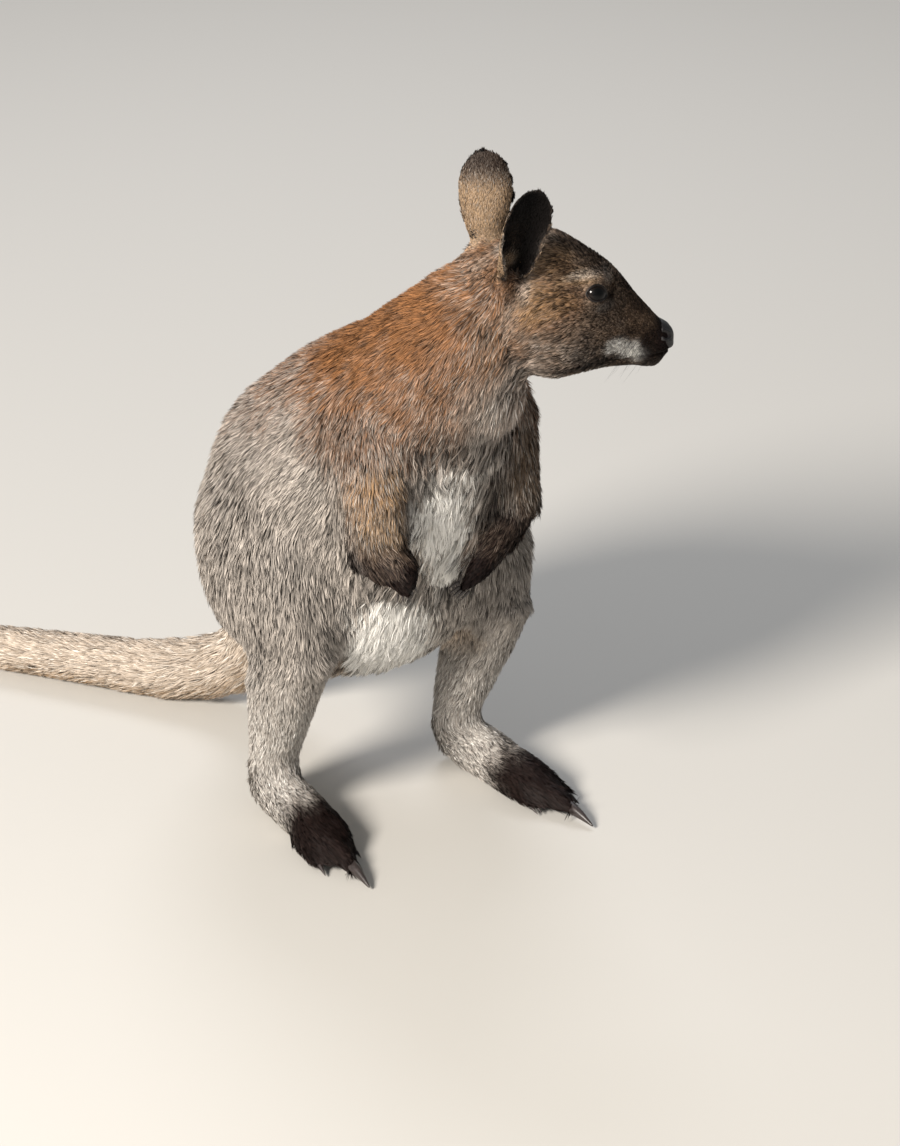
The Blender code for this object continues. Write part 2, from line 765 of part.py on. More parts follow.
def part_limbs(body, pieces):
    for name, side in SIDES.items():
        (heel_x, heel_y), _ = FEET[name]
        # A block round the foot, from the floor up to the ankle
        block = ((heel_y - 0.24, -0.03), (heel_y + 0.05, -0.03), (heel_y + 0.05, 0.050), (heel_y - 0.24, 0.060))
        foot = carve(body, "foot_" + name, prism("block", block, heel_x - 0.05, heel_x + 0.08 * max(side, 0.6)))
        pieces["foot_" + name] = (foot, "dark_coat")
        # A block round the shank, up to the knee
        block = ((0.03, 0.02), (0.26, 0.02), (0.26, 0.128), (0.03, 0.222))
        knee_x = SHANKS[name][0].x
        shank = carve(body, "shank_" + name, prism("block", block, knee_x - side * 0.040, knee_x + side * 0.060))
        pieces["shank_" + name] = (shank, "pale_coat")
        below_knee = thigh_rings(name)[-1]._replace(y=0.118, z=0.180)
        thigh = carve(body, "thigh_" + name, sleeve("thigh_sleeve", [*thigh_rings(name), below_knee], 0.014))
        pieces["thigh_" + name] = (thigh, "grey_coat")
        beyond = HANDS[name][-1]._replace(z=HANDS[name][-1].z - 0.015)
        arm = sleeve("arm_sleeve", [*FOREARMS[name], *HANDS[name], beyond], 0.006)
        forearm = carve(body, "forearm_" + name, arm)
        wrist, knuckles = Vector(HANDS[name][0][:3]), Vector(HANDS[name][1][:3])
        hand, _ = halves(forearm, wrist, knuckles - wrist, "hand_" + name)
        pieces["hand_" + name] = (hand, "dark_coat")
        pieces["forearm_" + name] = (forearm, "grey_coat")
        upper = carve(body, "upper_arm_" + name, sleeve("upper_arm_sleeve", UPPER_ARMS[name], 0.010))
        pieces["upper_arm_" + name] = (upper, "rufous_coat")
        for each in foot_claws(name):
            pieces[each.name] = (keep_clear(each, foot), "claw")
        for each in hand_claws(name):
            pieces[each.name] = (keep_clear(each, hand), "claw")


def part_tail(body, pieces):
    """The tail in three lengths. Its root is parted from the rump across the tail's own direction."""
    tail, _ = halves(body, (0, 0.340, 0.133), (0, 0.5, -0.86), "tail_root")
    for name, ring, after in (("tail_tip", 6, 7), ("tail_middle", 3, 4)):
        ahead = Vector(TAIL[after][:3]) - Vector(TAIL[ring][:3])
        outer, _ = halves(tail, TAIL[ring][:3], ahead, name)
        pieces[name] = (outer, "pale_coat")
    pieces["tail_root"] = (tail, "pale_coat")


def centred(pieces):
    """Moves the whole animal so that the middle of its bounding box stands over the origin."""
    points = [v.co for body, _ in pieces.values() for v in body.data.vertices]
    low = Vector([min(p[axis] for p in points) for axis in range(3)])
    high = Vector([max(p[axis] for p in points) for axis in range(3)])
    move = Matrix.Translation((-(low.x + high.x) / 2, -(low.y + high.y) / 2, -low.z))
    for body, _ in pieces.values():
        body.data.transform(move)


def build():
    clear_scene()
    pieces = {}
    body, head = whole_body(), whole_head()
    # Behind the jaw and the ears, across the neck
    collar = HEAD_FRAME @ Vector((0.012, 0, -0.012))
    collar_normal = HEAD_FRAME.to_3x3() @ Vector((0.91, 0, 0.41))
    half(body, collar, collar_normal, False)
    half(head, collar, collar_normal, True)
    part_head(head, pieces)
    part_limbs(body, pieces)
    part_tail(body, pieces)
    neck, trunk = halves(body, (0, 0.046, 0.462), (0, -0.50, 0.87), "neck")
    pieces["neck"] = (neck, "rufous_coat")
    pieces["trunk"] = (trunk, "grey_coat")
    centred(pieces)
    for name, (piece, coat) in pieces.items():
        finish(piece, name, coat)


if __name__ == "__main__":
    build()
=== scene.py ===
import math
import time

import bmesh
import bpy
import numpy as np
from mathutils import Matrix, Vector
from mathutils.bvhtree import BVHTree
from mathutils.kdtree import KDTree


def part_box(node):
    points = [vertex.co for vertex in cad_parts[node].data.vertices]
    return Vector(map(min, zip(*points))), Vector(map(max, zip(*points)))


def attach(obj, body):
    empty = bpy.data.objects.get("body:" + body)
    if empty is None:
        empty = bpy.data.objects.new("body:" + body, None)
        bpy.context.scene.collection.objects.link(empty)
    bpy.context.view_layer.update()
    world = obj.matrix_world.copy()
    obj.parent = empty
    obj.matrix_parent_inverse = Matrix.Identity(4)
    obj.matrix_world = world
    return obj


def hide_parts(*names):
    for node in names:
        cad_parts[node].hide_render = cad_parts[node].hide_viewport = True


# A red-necked wallaby, life size: one skin under a coat of mesh tufts, with its own eyes, nose and claws.
# Lengths are in metres, except in the rows of markings and hair lines, which are in millimetres.
# Places are given in two frames of the animal's own: "body" has x to its left, -y ahead of the breast and
# z up, and "head" has x ahead, y to its left and z up.

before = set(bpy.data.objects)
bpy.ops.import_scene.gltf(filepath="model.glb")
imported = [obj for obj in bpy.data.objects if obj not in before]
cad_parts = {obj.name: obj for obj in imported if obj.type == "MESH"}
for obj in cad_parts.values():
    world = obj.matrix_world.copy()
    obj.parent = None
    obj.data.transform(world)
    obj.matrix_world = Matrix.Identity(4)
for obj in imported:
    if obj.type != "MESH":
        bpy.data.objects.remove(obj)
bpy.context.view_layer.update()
started = time.time()


def report(stage):
    print(f"{time.time() - started:6.1f} s  {stage}", flush=True)


def middleOf(node):
    low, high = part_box(node)
    return (low + high) / 2


eyePlace = {"ahead": 0.0830, "side": 0.0258, "up": 0.0070, "gaze": (0.08, 0.95, 0.26)}  # in the head's frame
napePlace = Vector((0.0, -0.007, 0.546))  # the head's origin in the body's frame
eyeMiddle = (middleOf("eye_left") + middleOf("eye_right")) / 2
headLeft = (middleOf("eye_left") - middleOf("eye_right")).normalized()
headAhead = headLeft.cross(Vector((0, 0, 1)))
headOrigin = eyeMiddle - eyePlace["ahead"] * headAhead - Vector((0, 0, eyePlace["up"]))
headAxes = np.array([headAhead, headLeft, (0, 0, 1)])
bodyOrigin = np.array(headOrigin - napePlace)


def toHead(points):
    return (points - np.array(headOrigin)) @ headAxes.T


def fromHead(points):
    return np.asarray(points, float) @ headAxes + np.array(headOrigin)


def toBody(points):
    return points - bodyOrigin


def fromBody(points):
    return np.asarray(points, float) + bodyOrigin


def smoothStep(value, low, high):
    t = np.clip((value - low) / (high - low), 0, 1)
    return t * t * (3 - 2 * t)


def unit(rows):
    return rows / np.maximum(np.linalg.norm(rows, axis=-1, keepdims=True), 1e-12)


def softBlob(points, centre, radii):
    # 1 at the centre, fading out evenly past the radii
    return np.exp(-(((points - centre) / radii) ** 2).sum(1))


def softNoise(points, scale, seed):
    # A cheap smooth noise from about -1 to 1: six waves in different directions
    draw = np.random.default_rng(seed)
    total = np.zeros(len(points))
    for _ in range(6):
        wave = unit(draw.normal(size=3)) * draw.uniform(0.7, 1.5) * 2 * math.pi / scale
        total += np.sin(points @ wave + draw.uniform(0, 2 * math.pi))
    return total / 3.2


def hexColour(code):
    # sRGB hex to the linear values that a shader takes
    parts = [int(code[i : i + 2], 16) / 255 for i in (1, 3, 5)]
    return tuple([p / 12.92 if p <= 0.04045 else ((p + 0.055) / 1.055) ** 2.4 for p in parts] + [1.0])


def addNode(material, kind, inputs=None, **settings):
    tree = material.node_tree
    node = tree.nodes.new(kind)
    for name, value in settings.items():
        setattr(node, name, value)
    for socket, value in (inputs or {}).items():
        if isinstance(value, bpy.types.NodeSocket):
            tree.links.new(value, node.inputs[socket])
        else:
            node.inputs[socket].default_value = value
    return node


def newMaterial(name):
    material = bpy.data.materials.new(name)
    material.use_nodes = True
    material.node_tree.nodes.clear()
    return material


def shown(material, shader):
    # The material, once its last shader is what the surface shows
    addNode(material, "ShaderNodeOutputMaterial", {"Surface": shader.outputs[0]})
    return material


def scaleOf(millimetres):
    # A pattern's scale from the real size of one grain of it
    return 1000 / millimetres


def linked(name, data):
    thing = bpy.data.objects.new(name, data)
    bpy.context.scene.collection.objects.link(thing)
    return thing


def smoothShaded(mesh):
    mesh.polygons.foreach_set("use_smooth", [True] * len(mesh.polygons))
    return mesh


def meshFrom(name, points, faces):
    mesh = bpy.data.meshes.new(name)
    mesh.from_pydata([tuple(p) for p in points], [], [tuple(f) for f in faces])
    mesh.update()
    return smoothShaded(mesh)


def ringFaces(rings, around, first=0):
    # Quads between each ring of points and the next
    faces = []
    for ring in range(rings):
        for k in range(around):
            a, b = (first + ring * around + place for place in (k, (k + 1) % around))
            faces.append((a, b, b + around, a + around))
    return faces


def cleanUp(mesh, weld=0.0, outward=True):
    # Joins points that are closer than weld, and turns every face outward
    work = bmesh.new()
    work.from_mesh(mesh)
    if weld:
        bmesh.ops.remove_doubles(work, verts=work.verts, dist=weld)
    if outward:
        bmesh.ops.recalc_face_normals(work, faces=work.faces)
    work.to_mesh(mesh)
    work.free()
    return mesh


def newPiece(name, mesh, material, stands=()):
    piece = linked(name, mesh)
    mesh.materials.clear()
    mesh.materials.append(material)
    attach(piece, "root")
    if stands:
        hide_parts(*stands)
    return piece


def rowsOf(block, key, width=3, kind=np.float32):
    # One property of all of a mesh's points, edges, triangles or corners
    values = np.empty(len(block) * width, kind)
    block.foreach_get(key, values)
    return values.reshape(-1, width)


def pointsOf(mesh):
    return rowsOf(mesh.vertices, "co").astype(float)


def normalsOf(mesh):
    return rowsOf(mesh.vertices, "normal").astype(float)


def edgesOf(mesh):
    return rowsOf(mesh.edges, "vertices", 2, np.int32)


def setPoints(mesh, points):
    mesh.vertices.foreach_set("co", points.astype(np.float32).ravel())
    mesh.update()


def storeValues(mesh, name, values):
    mesh.attributes.new(name, "FLOAT", "POINT").data.foreach_set("value", values)


def spread(values, edges, rounds, share=0.5):
    # Evens values out over the mesh: each round moves a vertex's value towards its neighbours' mean.
    a, b = edges.T
    count = len(values)
    near = np.maximum(np.bincount(a, minlength=count) + np.bincount(b, minlength=count), 1)
    columns = values.reshape(count, -1)
    for _ in range(rounds):
        mean = np.empty_like(columns)
        for k in range(columns.shape[1]):
            column = columns[:, k]
            mean[:, k] = np.bincount(a, column[b], count) + np.bincount(b, column[a], count)
        columns = columns + share * (mean / near[:, None] - columns)
    return columns.reshape(values.shape)


def relax(points, edges, rounds):
    # Smooths a shape and keeps its size: each step in is followed by a slightly longer step out.
    for _ in range(rounds):
        points = spread(points, edges, 1, 0.50)
        points = spread(points, edges, 1, -0.52)
    return points


# Skin: the flesh nodes grown into each other, remeshed as one, then drawn in by the coat's depth.
skinSettings = {
    "voxel": 0.0031,
    "overlap": 0.0011,  # each node grows by this first, so that the thin cuts between them close
    "eyeOverlap": 0.0026,  # and each eye by this, so that the skin is whole over the eyeball
    "weld": 1e-5,
    "smoothRounds": 9,
    "broad": ("trunk", "neck", "thigh"), "broadEdge": 8, "broadRounds": 90,
    "fineAhead": -0.004, "fineAbove": -0.10,  # past these in the head's frame the skin is twice as fine
    "depth": {
        "trunk": 0.0105, "neck": 0.0085, "head": 0.0032, "lower_jaw": 0.0030, "ear": 0.0008,
        "thigh": 0.0095, "shank": 0.0055, "foot": 0.0034, "upper_arm": 0.0070, "forearm": 0.0048,
        "hand": 0.0020, "tail_root": 0.0080, "tail_middle": 0.0050, "tail_tip": 0.0034,
    },
    "depthRounds": 40,
    "muzzleDepth": ((0.095, 0.135, 0.0014), (0.140, 0.152, 0.0004)),  # from, to, depth: along the head
    "eyeDepth": (0.024, 0.013, 0.0012),  # the same, in towards the eye's centre
    "settleRounds": 4,
}
fleshNodes = sorted(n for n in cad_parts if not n.startswith(("eye", "claw", "nose")))


def familyOf(node):
    return node.replace("_left", "").replace("_right", "")


def grownNode(node):
    part = bmesh.new()
    part.from_mesh(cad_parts[node].data)
    bmesh.ops.remove_doubles(part, verts=part.verts, dist=skinSettings["weld"])
    part.normal_update()
    growth = skinSettings["eyeOverlap" if node.startswith("eye") else "overlap"]
    for vertex in part.verts:
        vertex.co += vertex.normal * growth
    return part


def mergedFlesh():
    points, faces = [], []
    for node in fleshNodes + ["eye_left", "eye_right", "nose"]:
        part = grownNode(node)
        first = len(points)
        points += [v.co.copy() for v in part.verts]
        faces += [[first + v.index for v in f.verts] for f in part.faces]
        part.free()
    body = linked("flesh", meshFrom("flesh", points, faces))
    remesh = body.modifiers.new("one", "REMESH")
    remesh.mode = "VOXEL"
    remesh.voxel_size = skinSettings["voxel"]
    graph = bpy.context.evaluated_depsgraph_get()
    mesh = bpy.data.meshes.new_from_object(body.evaluated_get(graph))
    bpy.data.objects.remove(body)
    return mesh


def largestIsland(mesh):
    # Whether each point belongs to the mesh's largest connected piece
    edges = edgesOf(mesh)
    label = np.arange(len(mesh.vertices))
    while True:
        low = np.minimum(label[edges[:, 0]], label[edges[:, 1]])
        before = label.copy()
        np.minimum.at(label, edges[:, 0], low)
        np.minimum.at(label, edges[:, 1], low)
        label = label[label]
        if (label == before).all():
            break
    names, sizes = np.unique(label, return_counts=True)
    return label == names[np.argmax(sizes)]


def refine(mesh, keep):
    # Drops the stray islands and halves the edges of the head
    work = bmesh.new()
    work.from_mesh(mesh)
    work.verts.ensure_lookup_table()
    bmesh.ops.delete(work, geom=[work.verts[i] for i in np.nonzero(~keep)[0]], context="VERTS")
    head = toHead(np.array([v.co for v in work.verts]))
    isFine = (head[:, 0] > skinSettings["fineAhead"]) & (head[:, 2] > skinSettings["fineAbove"])
    fine = set(np.nonzero(isFine)[0])
    edges = [e for e in work.edges if e.verts[0].index in fine and e.verts[1].index in fine]
    bmesh.ops.subdivide_edges(work, edges=edges, cuts=1, use_grid_fill=True)
    bmesh.ops.triangulate(work, faces=[f for f in work.faces if len(f.verts) > 4])
    work.to_mesh(mesh)
    work.free()


def nearestNodes(points):
    # For each point, the index in fleshNodes of the node whose surface is nearest
    tree = KDTree(sum(len(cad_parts[n].data.vertices) for n in fleshNodes))
    owners = []
    for index, node in enumerate(fleshNodes):
        for co in pointsOf(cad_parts[node].data):
            tree.insert(co, len(owners))
            owners.append(index)
    tree.balance()
    owners = np.array(owners)
    return owners[[tree.find(p)[1] for p in points]]


skinMesh = mergedFlesh()
refine(skinMesh, largestIsland(skinMesh))
skinEdges = edgesOf(skinMesh)
skinPoints = relax(pointsOf(skinMesh), skinEdges, skinSettings["smoothRounds"])
setPoints(skinMesh, skinPoints)
owner = nearestNodes(skinPoints)
family = np.array([familyOf(n) for n in fleshNodes])[owner]
ownerName = np.array(fleshNodes)[owner]
isEar = family == "ear"
# The solids' flat facets are rounded off where the body is broad.
broad = np.isin(family, skinSettings["broad"]).astype(float)
broad = spread(broad, skinEdges, skinSettings["broadEdge"])[:, None]
skinPoints = skinPoints + broad * (spread(skinPoints, skinEdges, skinSettings["broadRounds"]) - skinPoints)
report(f"skin remeshed: {len(skinMesh.vertices)} points")


def eyeFrame(side):
    # Centre, gaze and the two directions across the opening of one eye, in the row's frame
    centre = middleOf("eye_left" if side > 0 else "eye_right")
    gaze = Vector(unit(np.array(eyePlace["gaze"]) * (1, side, 1)) @ headAxes)
    forward = (headAhead - headAhead.dot(gaze) * gaze).normalized()
    upward = gaze.cross(forward) * side * -1
    if upward.z < 0:
        upward = -upward
    return centre, gaze, forward, upward


def eyeArrays(side):
    return [np.array(v) for v in eyeFrame(side)]


def awayFromEye(points, side):
    return np.linalg.norm(points - eyeArrays(side)[0], axis=1)


eyeball = {
    "radius": 0.0101, "corneaHeight": 0.0004, "corneaWidth": 0.55, "around": 64, "rings": 40,
}
# Lids: the skin follows each eyeball and opens in an almond, whose inner corner is low and drawn out
lids = {
    "front": 0.0096, "back": 0.0082, "top": 0.0066, "bottom": 0.0060, "frontDrop": -0.0024,
    "backRise": 0.0002, "around": 72, "thick": 0.0006, "blend": 0.0012, "sunk": 0.0022, "reach": 0.022,
    "foldDepth": 0.0007, "foldAt": 1.42, "foldWidth": 0.11,
}


def openingPoint(turn):
    # The edge of the opening in the direction of turn, as (forward, upward) from the eye's centre
    c, s = math.cos(turn), math.sin(turn)
    wide = lids["front"] if c > 0 else lids["back"]
    tall = lids["top"] if s > 0 else lids["bottom"]
    drop = (lids["frontDrop"] if c > 0 else lids["backRise"]) * abs(c) ** 3
    return wide * c * (1.0 - 0.05 * abs(s)), tall * s * abs(s) ** 0.25 + drop


def openingShare(u, v):
    # Distance from the eye's centre as a share of the opening's size that way: 1 at its edge
    edge = np.array([openingPoint(2 * math.pi * k / 180) for k in range(181)])
    angle = np.unwrap(np.arctan2(edge[:, 1], edge[:, 0]))
    way = (np.arctan2(v, u) - angle[0]) % (2 * math.pi) + angle[0]
    return np.hypot(u, v) / np.interp(way, angle, np.hypot(edge[:, 0], edge[:, 1]))


def shapeLids(points):
    points = points.copy()
    for side in (1, -1):
        centre, gaze, forward, upward = eyeArrays(side)
        off = points - centre
        u, v, high = off @ forward, off @ upward, off @ gaze
        across = np.hypot(u, v)
        near = np.nonzero((across < lids["reach"]) & (high > -0.003))[0]
        u, v, high, across = u[near], v[near], high[near], across[near]
        size = openingShare(u, v)
        reach = eyeball["radius"] + lids["thick"]
        over = np.where(across < reach, np.sqrt(np.clip(reach**2 - across**2, 0, None)), -0.02)
        new = (high + over + np.sqrt((high - over) ** 2 + lids["blend"] ** 2)) / 2
        fold = np.exp(-(((size - lids["foldAt"]) / lids["foldWidth"]) ** 2)) * np.where(v > 0, 1.0, 0.5)
        new = new - lids["foldDepth"] * fold
        sunk = np.sqrt(np.clip(eyeball["radius"] ** 2 - across**2, 0, None)) - lids["sunk"]
        inside = smoothStep(size, 1.06, 0.90)
        new = new * (1 - inside) + sunk * inside
        points[near] += gaze * (new - high)[:, None]
    return points


mouth = {
    "line": ((0.098, -0.0560), (0.130, -0.0590), (0.160, -0.0572)),  # ahead and up in the head's frame
    "corner": (0.094, 0.104),
    "depth": 0.0024, "halfWidth": 0.0015, "lip": 0.25,
    "cleft": 0.6, "cleftHalfWidth": 0.0012,
}


def mouthHeight(ahead):
    places = np.array(mouth["line"])
    return np.interp(ahead, places[:, 0], places[:, 1])


def coatDepths(points):
    depth = np.array([skinSettings["depth"][f] for f in family])
    depth = spread(depth, skinEdges, skinSettings["depthRounds"])
    head = toHead(points)
    for start, end, least in skinSettings["muzzleDepth"]:
        onFace = smoothStep(head[:, 0], start, end)
        depth = depth * (1 - onFace) + least * onFace
    start, end, least = skinSettings["eyeDepth"]
    for side in (1, -1):
        near = smoothStep(awayFromEye(points, side), start, end)
        depth = depth * (1 - near) + least * near
    return depth + skinSettings["overlap"]


def pressMouth(points, normals):
    head = toHead(points)
    off = (head[:, 2] - mouthHeight(head[:, 0])) / mouth["halfWidth"]
    alongLine = smoothStep(head[:, 0], *mouth["corner"]) * ~isEar
    groove = np.exp(-off**2) * alongLine
    lip = np.exp(-(((off - 2.4) / 1.5) ** 2)) * alongLine * mouth["lip"]
    cleft = np.exp(-((head[:, 1] / mouth["cleftHalfWidth"]) ** 2)) * smoothStep(head[:, 0], 0.140, 0.146)
    cleft = cleft * smoothStep(head[:, 2], -0.060, -0.057) * mouth["cleft"]
    return points - normals * ((groove + cleft - lip) * mouth["depth"])[:, None]


skinNormals = unit(spread(normalsOf(skinMesh), skinEdges, 2))
coatDepth = coatDepths(skinPoints)
skinPoints = relax(skinPoints - skinNormals * coatDepth[:, None], skinEdges, skinSettings["settleRounds"])
skinPoints = pressMouth(shapeLids(skinPoints), skinNormals)
smoothShaded(skinMesh)
setPoints(skinMesh, skinPoints)
skinMesh.calc_loop_triangles()
skinTriangles = rowsOf(skinMesh.loop_triangles, "vertices", 3, np.int32)
skinNormals = unit(spread(normalsOf(skinMesh), skinEdges, 3))
skinHead, skinBody = toHead(skinPoints), toBody(skinPoints)
headX, headY, headZ = skinHead.T
bodyX, bodyY, bodyZ = skinBody.T
report("skin drawn in under the coat")

# Markings and painted shade: soft blobs of each colour in the animal's two frames. Head ones, and body
# ones marked "both", count on either side. Rows: frame, centre, radii (in millimetres), strength.
markingsAndShade = {
    "rufous": [
        ("body", (-8, 98, 492), (125, 130, 80), 1.0),
        ("head", (-66, 0, 0), (62, 90, 75), 1.0),
        ("body", (-8, 215, 425), (90, 100, 65), 0.56),
        ("body", (-8, 270, 385), (80, 120, 75), 0.24),
        ("head", (2, 24, 30), (20, 24, 22), 0.75),
        ("head", (55, 30, 30), (16, 14, 14), 0.3),
        ("head", (46, 36, 4), (30, 22, 20), 0.5),
        ("both", (84, 72, 430), (40, 58, 36), 0.55),
        ("both", (40, -14, 462), (44, 50, 50), 0.6),
        ("both", (78, 20, 400), (36, 45, 45), 0.38),
    ],
    "brown": [
        ("head", (85, 0, 4), (100, 60, 70), 0.85),
        ("head", (128, 0, -30), (50, 40, 40), 1.0),
        ("head", (10, 30, -20), (34, 30, 50), 0.65),
        ("both", (88, 30, 345), (30, 45, 75), 0.3),
        ("both", (85, 12, 315), (40, 30, 32), 0.85),
        ("both", (45, 35, 300), (40, 30, 30), 0.8),
        ("body", (-8, -20, 480), (60, 40, 45), 0.55),
    ],
    "charcoal": [
        ("head", (58, 4, 56), (34, 16, 14), 0.3),
        ("head", (92, 0, 34), (30, 14, 18), 0.5),
        ("head", (130, 0, -4), (42, 16, 26), 0.62),
        ("head", (152, 8, -46), (14, 24, 24), 1.0),
        ("head", (122, 22, -33), (14, 14, 5.5), 0.6),
        ("head", (104, 28, -8), (20, 14, 12), 0.35),
        ("head", (97, 27, 2), (9, 12, 3), 0.85),
        ("head", (60, 33, 13), (12, 14, 3), 0.45),
        ("head", (59, 32, 30), (9, 12, 6), 0.5),
        ("head", (82, 30, -57), (34, 24, 7), 0.8),
        # painted shade: these two rows darken the underside of the lower jaw and the head, where shade
        # falls; the chin's own fur is greyish-white
        ("head", (120, 0, -74), (60, 20, 10), 0.65),
        ("head", (60, 0, -85), (70, 40, 22), 0.3),
        ("head", (50, 38, -36), (34, 22, 16), 0.24),
        ("head", (140, 18, -50), (14, 16, 20), 0.92),
        ("body", (-10, 0, 430), (70, 40, 26), 0.3),
        ("both", (50, 24, 368), (16, 40, 70), 0.45),
        ("both", (104, 78, 420), (30, 44, 36), 0.16),
        # painted shade: charcoal on the left side of the chest and arm only, the side turned away from the
        # light
        ("body", (66, 40, 340), (45, 50, 80), 0.45),
        ("both", (92, -4, 300), (36, 30, 22), 0.8),
        ("body", (-8, 70, 264), (36, 30, 8), 0.3),
    ],
    "ochre": [
        ("head", (48, 37, 6), (22, 18, 13), 0.3),
        ("head", (32, 38, 12), (16, 18, 18), 0.34),
        ("head", (72, 30, 23), (18, 14, 6), 0.7),
        ("head", (50, 28, 40), (22, 16, 12), 0.3),
        ("both", (60, 140, 160), (30, 40, 22), 0.35),
        ("both", (78, 14, 374), (30, 36, 40), 0.32),
    ],
    "cream": [
        ("body", (-26, 10, 398), (36, 45, 20), 0.5),
        ("body", (-27, 20, 368), (38, 45, 26), 0.95),
        ("body", (-12, 32, 334), (31, 40, 28), 1.0),
        ("body", (2, 46, 302), (21, 35, 26), 1.0),
        ("body", (6, 54, 274), (12, 30, 15), 0.95),
        ("body", (-42, 80, 236), (38, 45, 28), 1.0),
        ("body", (-30, 100, 204), (42, 55, 34), 1.0),
        ("body", (-6, 180, 140), (60, 100, 40), 0.7),
        ("body", (30, -14, 458), (50, 46, 50), 0.27),
        ("body", (20, 0, 410), (36, 36, 16), 0.2),
        ("both", (110, 34, 318), (13, 14, 12), 0.75),
        ("head", (107, 28, -43), (11, 18, 7.8), 0.9),
        ("head", (118, 24, -50), (12, 18, 9), 1.0),
        ("head", (127, 20, -55), (9, 18, 7), 1.0),
        ("head", (76, 29, 23.5), (16, 14, 3.6), 0.3),
        ("head", (99, 20, 20), (7, 12, 7), 0.2),
        ("head", (24, 36, 20), (10, 14, 8), 0.18),
        ("head", (94, 30, -5), (10, 12, 4.5), 0.22),
    ],
}
markFade = {"rufous": 0.52, "brown": 0.34, "charcoal": 0.34, "ochre": 0.34, "cream": 0.34}
middleX = {"marks": -0.008, "hair": -0.006}  # where the body's two sides meet


def blobMask(rows, seed, fade):
    total = np.zeros(len(skinBody))
    wander = softNoise(skinBody, 0.030, seed) * 0.14 + softNoise(skinBody, 0.011, seed + 1) * 0.08
    for place, centre, radii, strength in rows:
        points = (skinHead if place == "head" else skinBody).copy()
        if place == "head":
            points[:, 1] = abs(points[:, 1])
        if place == "both":
            points[:, 0] = abs(points[:, 0] - middleX["marks"])
        off = (points - np.array(centre) / 1000) / (np.array(radii) / 1000)
        off = np.linalg.norm(off, axis=1) + wander
        total = np.maximum(total, strength * smoothStep(off, 1 + fade, 1 - fade))
    return total


feet = {
    "foot_left": {"heel": (0.090, 0.200), "splay": math.radians(9)},
    "foot_right": {"heel": (-0.102, 0.218), "splay": math.radians(-1)},
}


def footAhead():
    # How far ahead of its heel each point of a foot is
    ahead = np.zeros(len(skinBody))
    for node, foot in feet.items():
        way = np.array([math.sin(foot["splay"]), -math.cos(foot["splay"])])
        at = ownerName == node
        ahead[at] = (skinBody[at][:, :2] - foot["heel"]) @ way
    return ahead


earPlace = {
    "base": np.array([0.006, 0.030, 0.033]), "tip": np.array([0.016, 0.054, 0.113]),
    "opening": np.array([0.30, 1.0, 0.0]), "halfWidth": 0.0245, "widest": 0.6,
}


def earReadings():
    # For each point: how far up the ear it is (0 to 1), how far across (-1 rear rim, 1 front rim), and
    # whether it is on the inner face of the cup (1) or the outer (0)
    near, facing = skinHead.copy(), skinNormals @ headAxes.T
    side = np.sign(headY)
    near[:, 1] *= side
    facing[:, 1] *= side
    rise = unit(earPlace["tip"] - earPlace["base"])
    opening = earPlace["opening"]
    opening = unit(opening - (opening @ rise) * rise)
    ahead = np.cross(opening, rise)
    ahead = ahead * np.sign(ahead[0])
    off = near - earPlace["base"]
    share = off @ rise / np.linalg.norm(earPlace["tip"] - earPlace["base"])
    widest = earPlace["widest"]
    rounding = np.sqrt(np.clip(1 - ((share - widest) / 0.42) ** 2, 0.05, 1))
    swell = np.where(share > widest, rounding, 0.55 + 0.75 * share)
    across = np.clip(off @ ahead / (earPlace["halfWidth"] * swell), -1.2, 1.2)
    inward = unit(0.40 * opening - across[:, None] * ahead)
    behindCup = smoothStep(-(off @ opening), 0.002, 0.006) * (1 - smoothStep(share, 0.10, 0.30))
    return share, across, smoothStep((facing * inward).sum(1), -0.05, 0.30) * (1 - behindCup)


earUp, earAcross, earFace = earReadings()


# Markings that follow the body's own parts. A pair is where one fades in, from nothing to full.
marks = {
    "front": {
        "facing": (0.80, 1.0), "height": (0.520, 0.490), "rufousLost": 0.60, "brown": 0.25,
        "brownAbove": 0.30,
    },
    "head": {"rufousUpTo": 0.075, "brownBelow": 0.40, "brownFrom": -0.03, "aloneAbove": 0.45},
    "lips": {"charcoal": 0.75, "gap": (0.0026, 0.0012), "corner": (0.095, 0.105)},
    "legs": {
        "cream": 0.24, "height": (0.215, 0.090), "toes": (0.066, 0.098), "ragged": 0.006, "raggedToes": 1.6,
    },
    "arms": {"charcoal": 0.88, "height": (0.362, 0.318), "cream": 0.5},
    "tail": {
        "rumpFrom": 0.34, "height": (0.190, 0.110), "under": (0.05, 0.65), "ochre": 0.62, "ochreUnder": 0.30,
        "cream": 0.27, "charcoal": 0.8, "tip": (0.715, 0.775),
    },
    "ears": {
        "tip": (0.50, 0.85), "rearRim": (0.62, 0.90), "frontRim": (0.95, 1.15), "frontRimShare": 0.45,
        "rimFrom": (0.08, 0.24), "rimTo": (0.35, 0.65), "rufous": 0.35, "ochre": 0.64, "charcoalTip": 0.80,
        "rimCleared": 0.85, "brownTip": 0.7, "brownInside": 0.3, "creamRim": 0.45, "creamBack": 0.04,
    },
}


def atLeast(masks, name, value):
    masks[name] = np.maximum(masks[name], value)


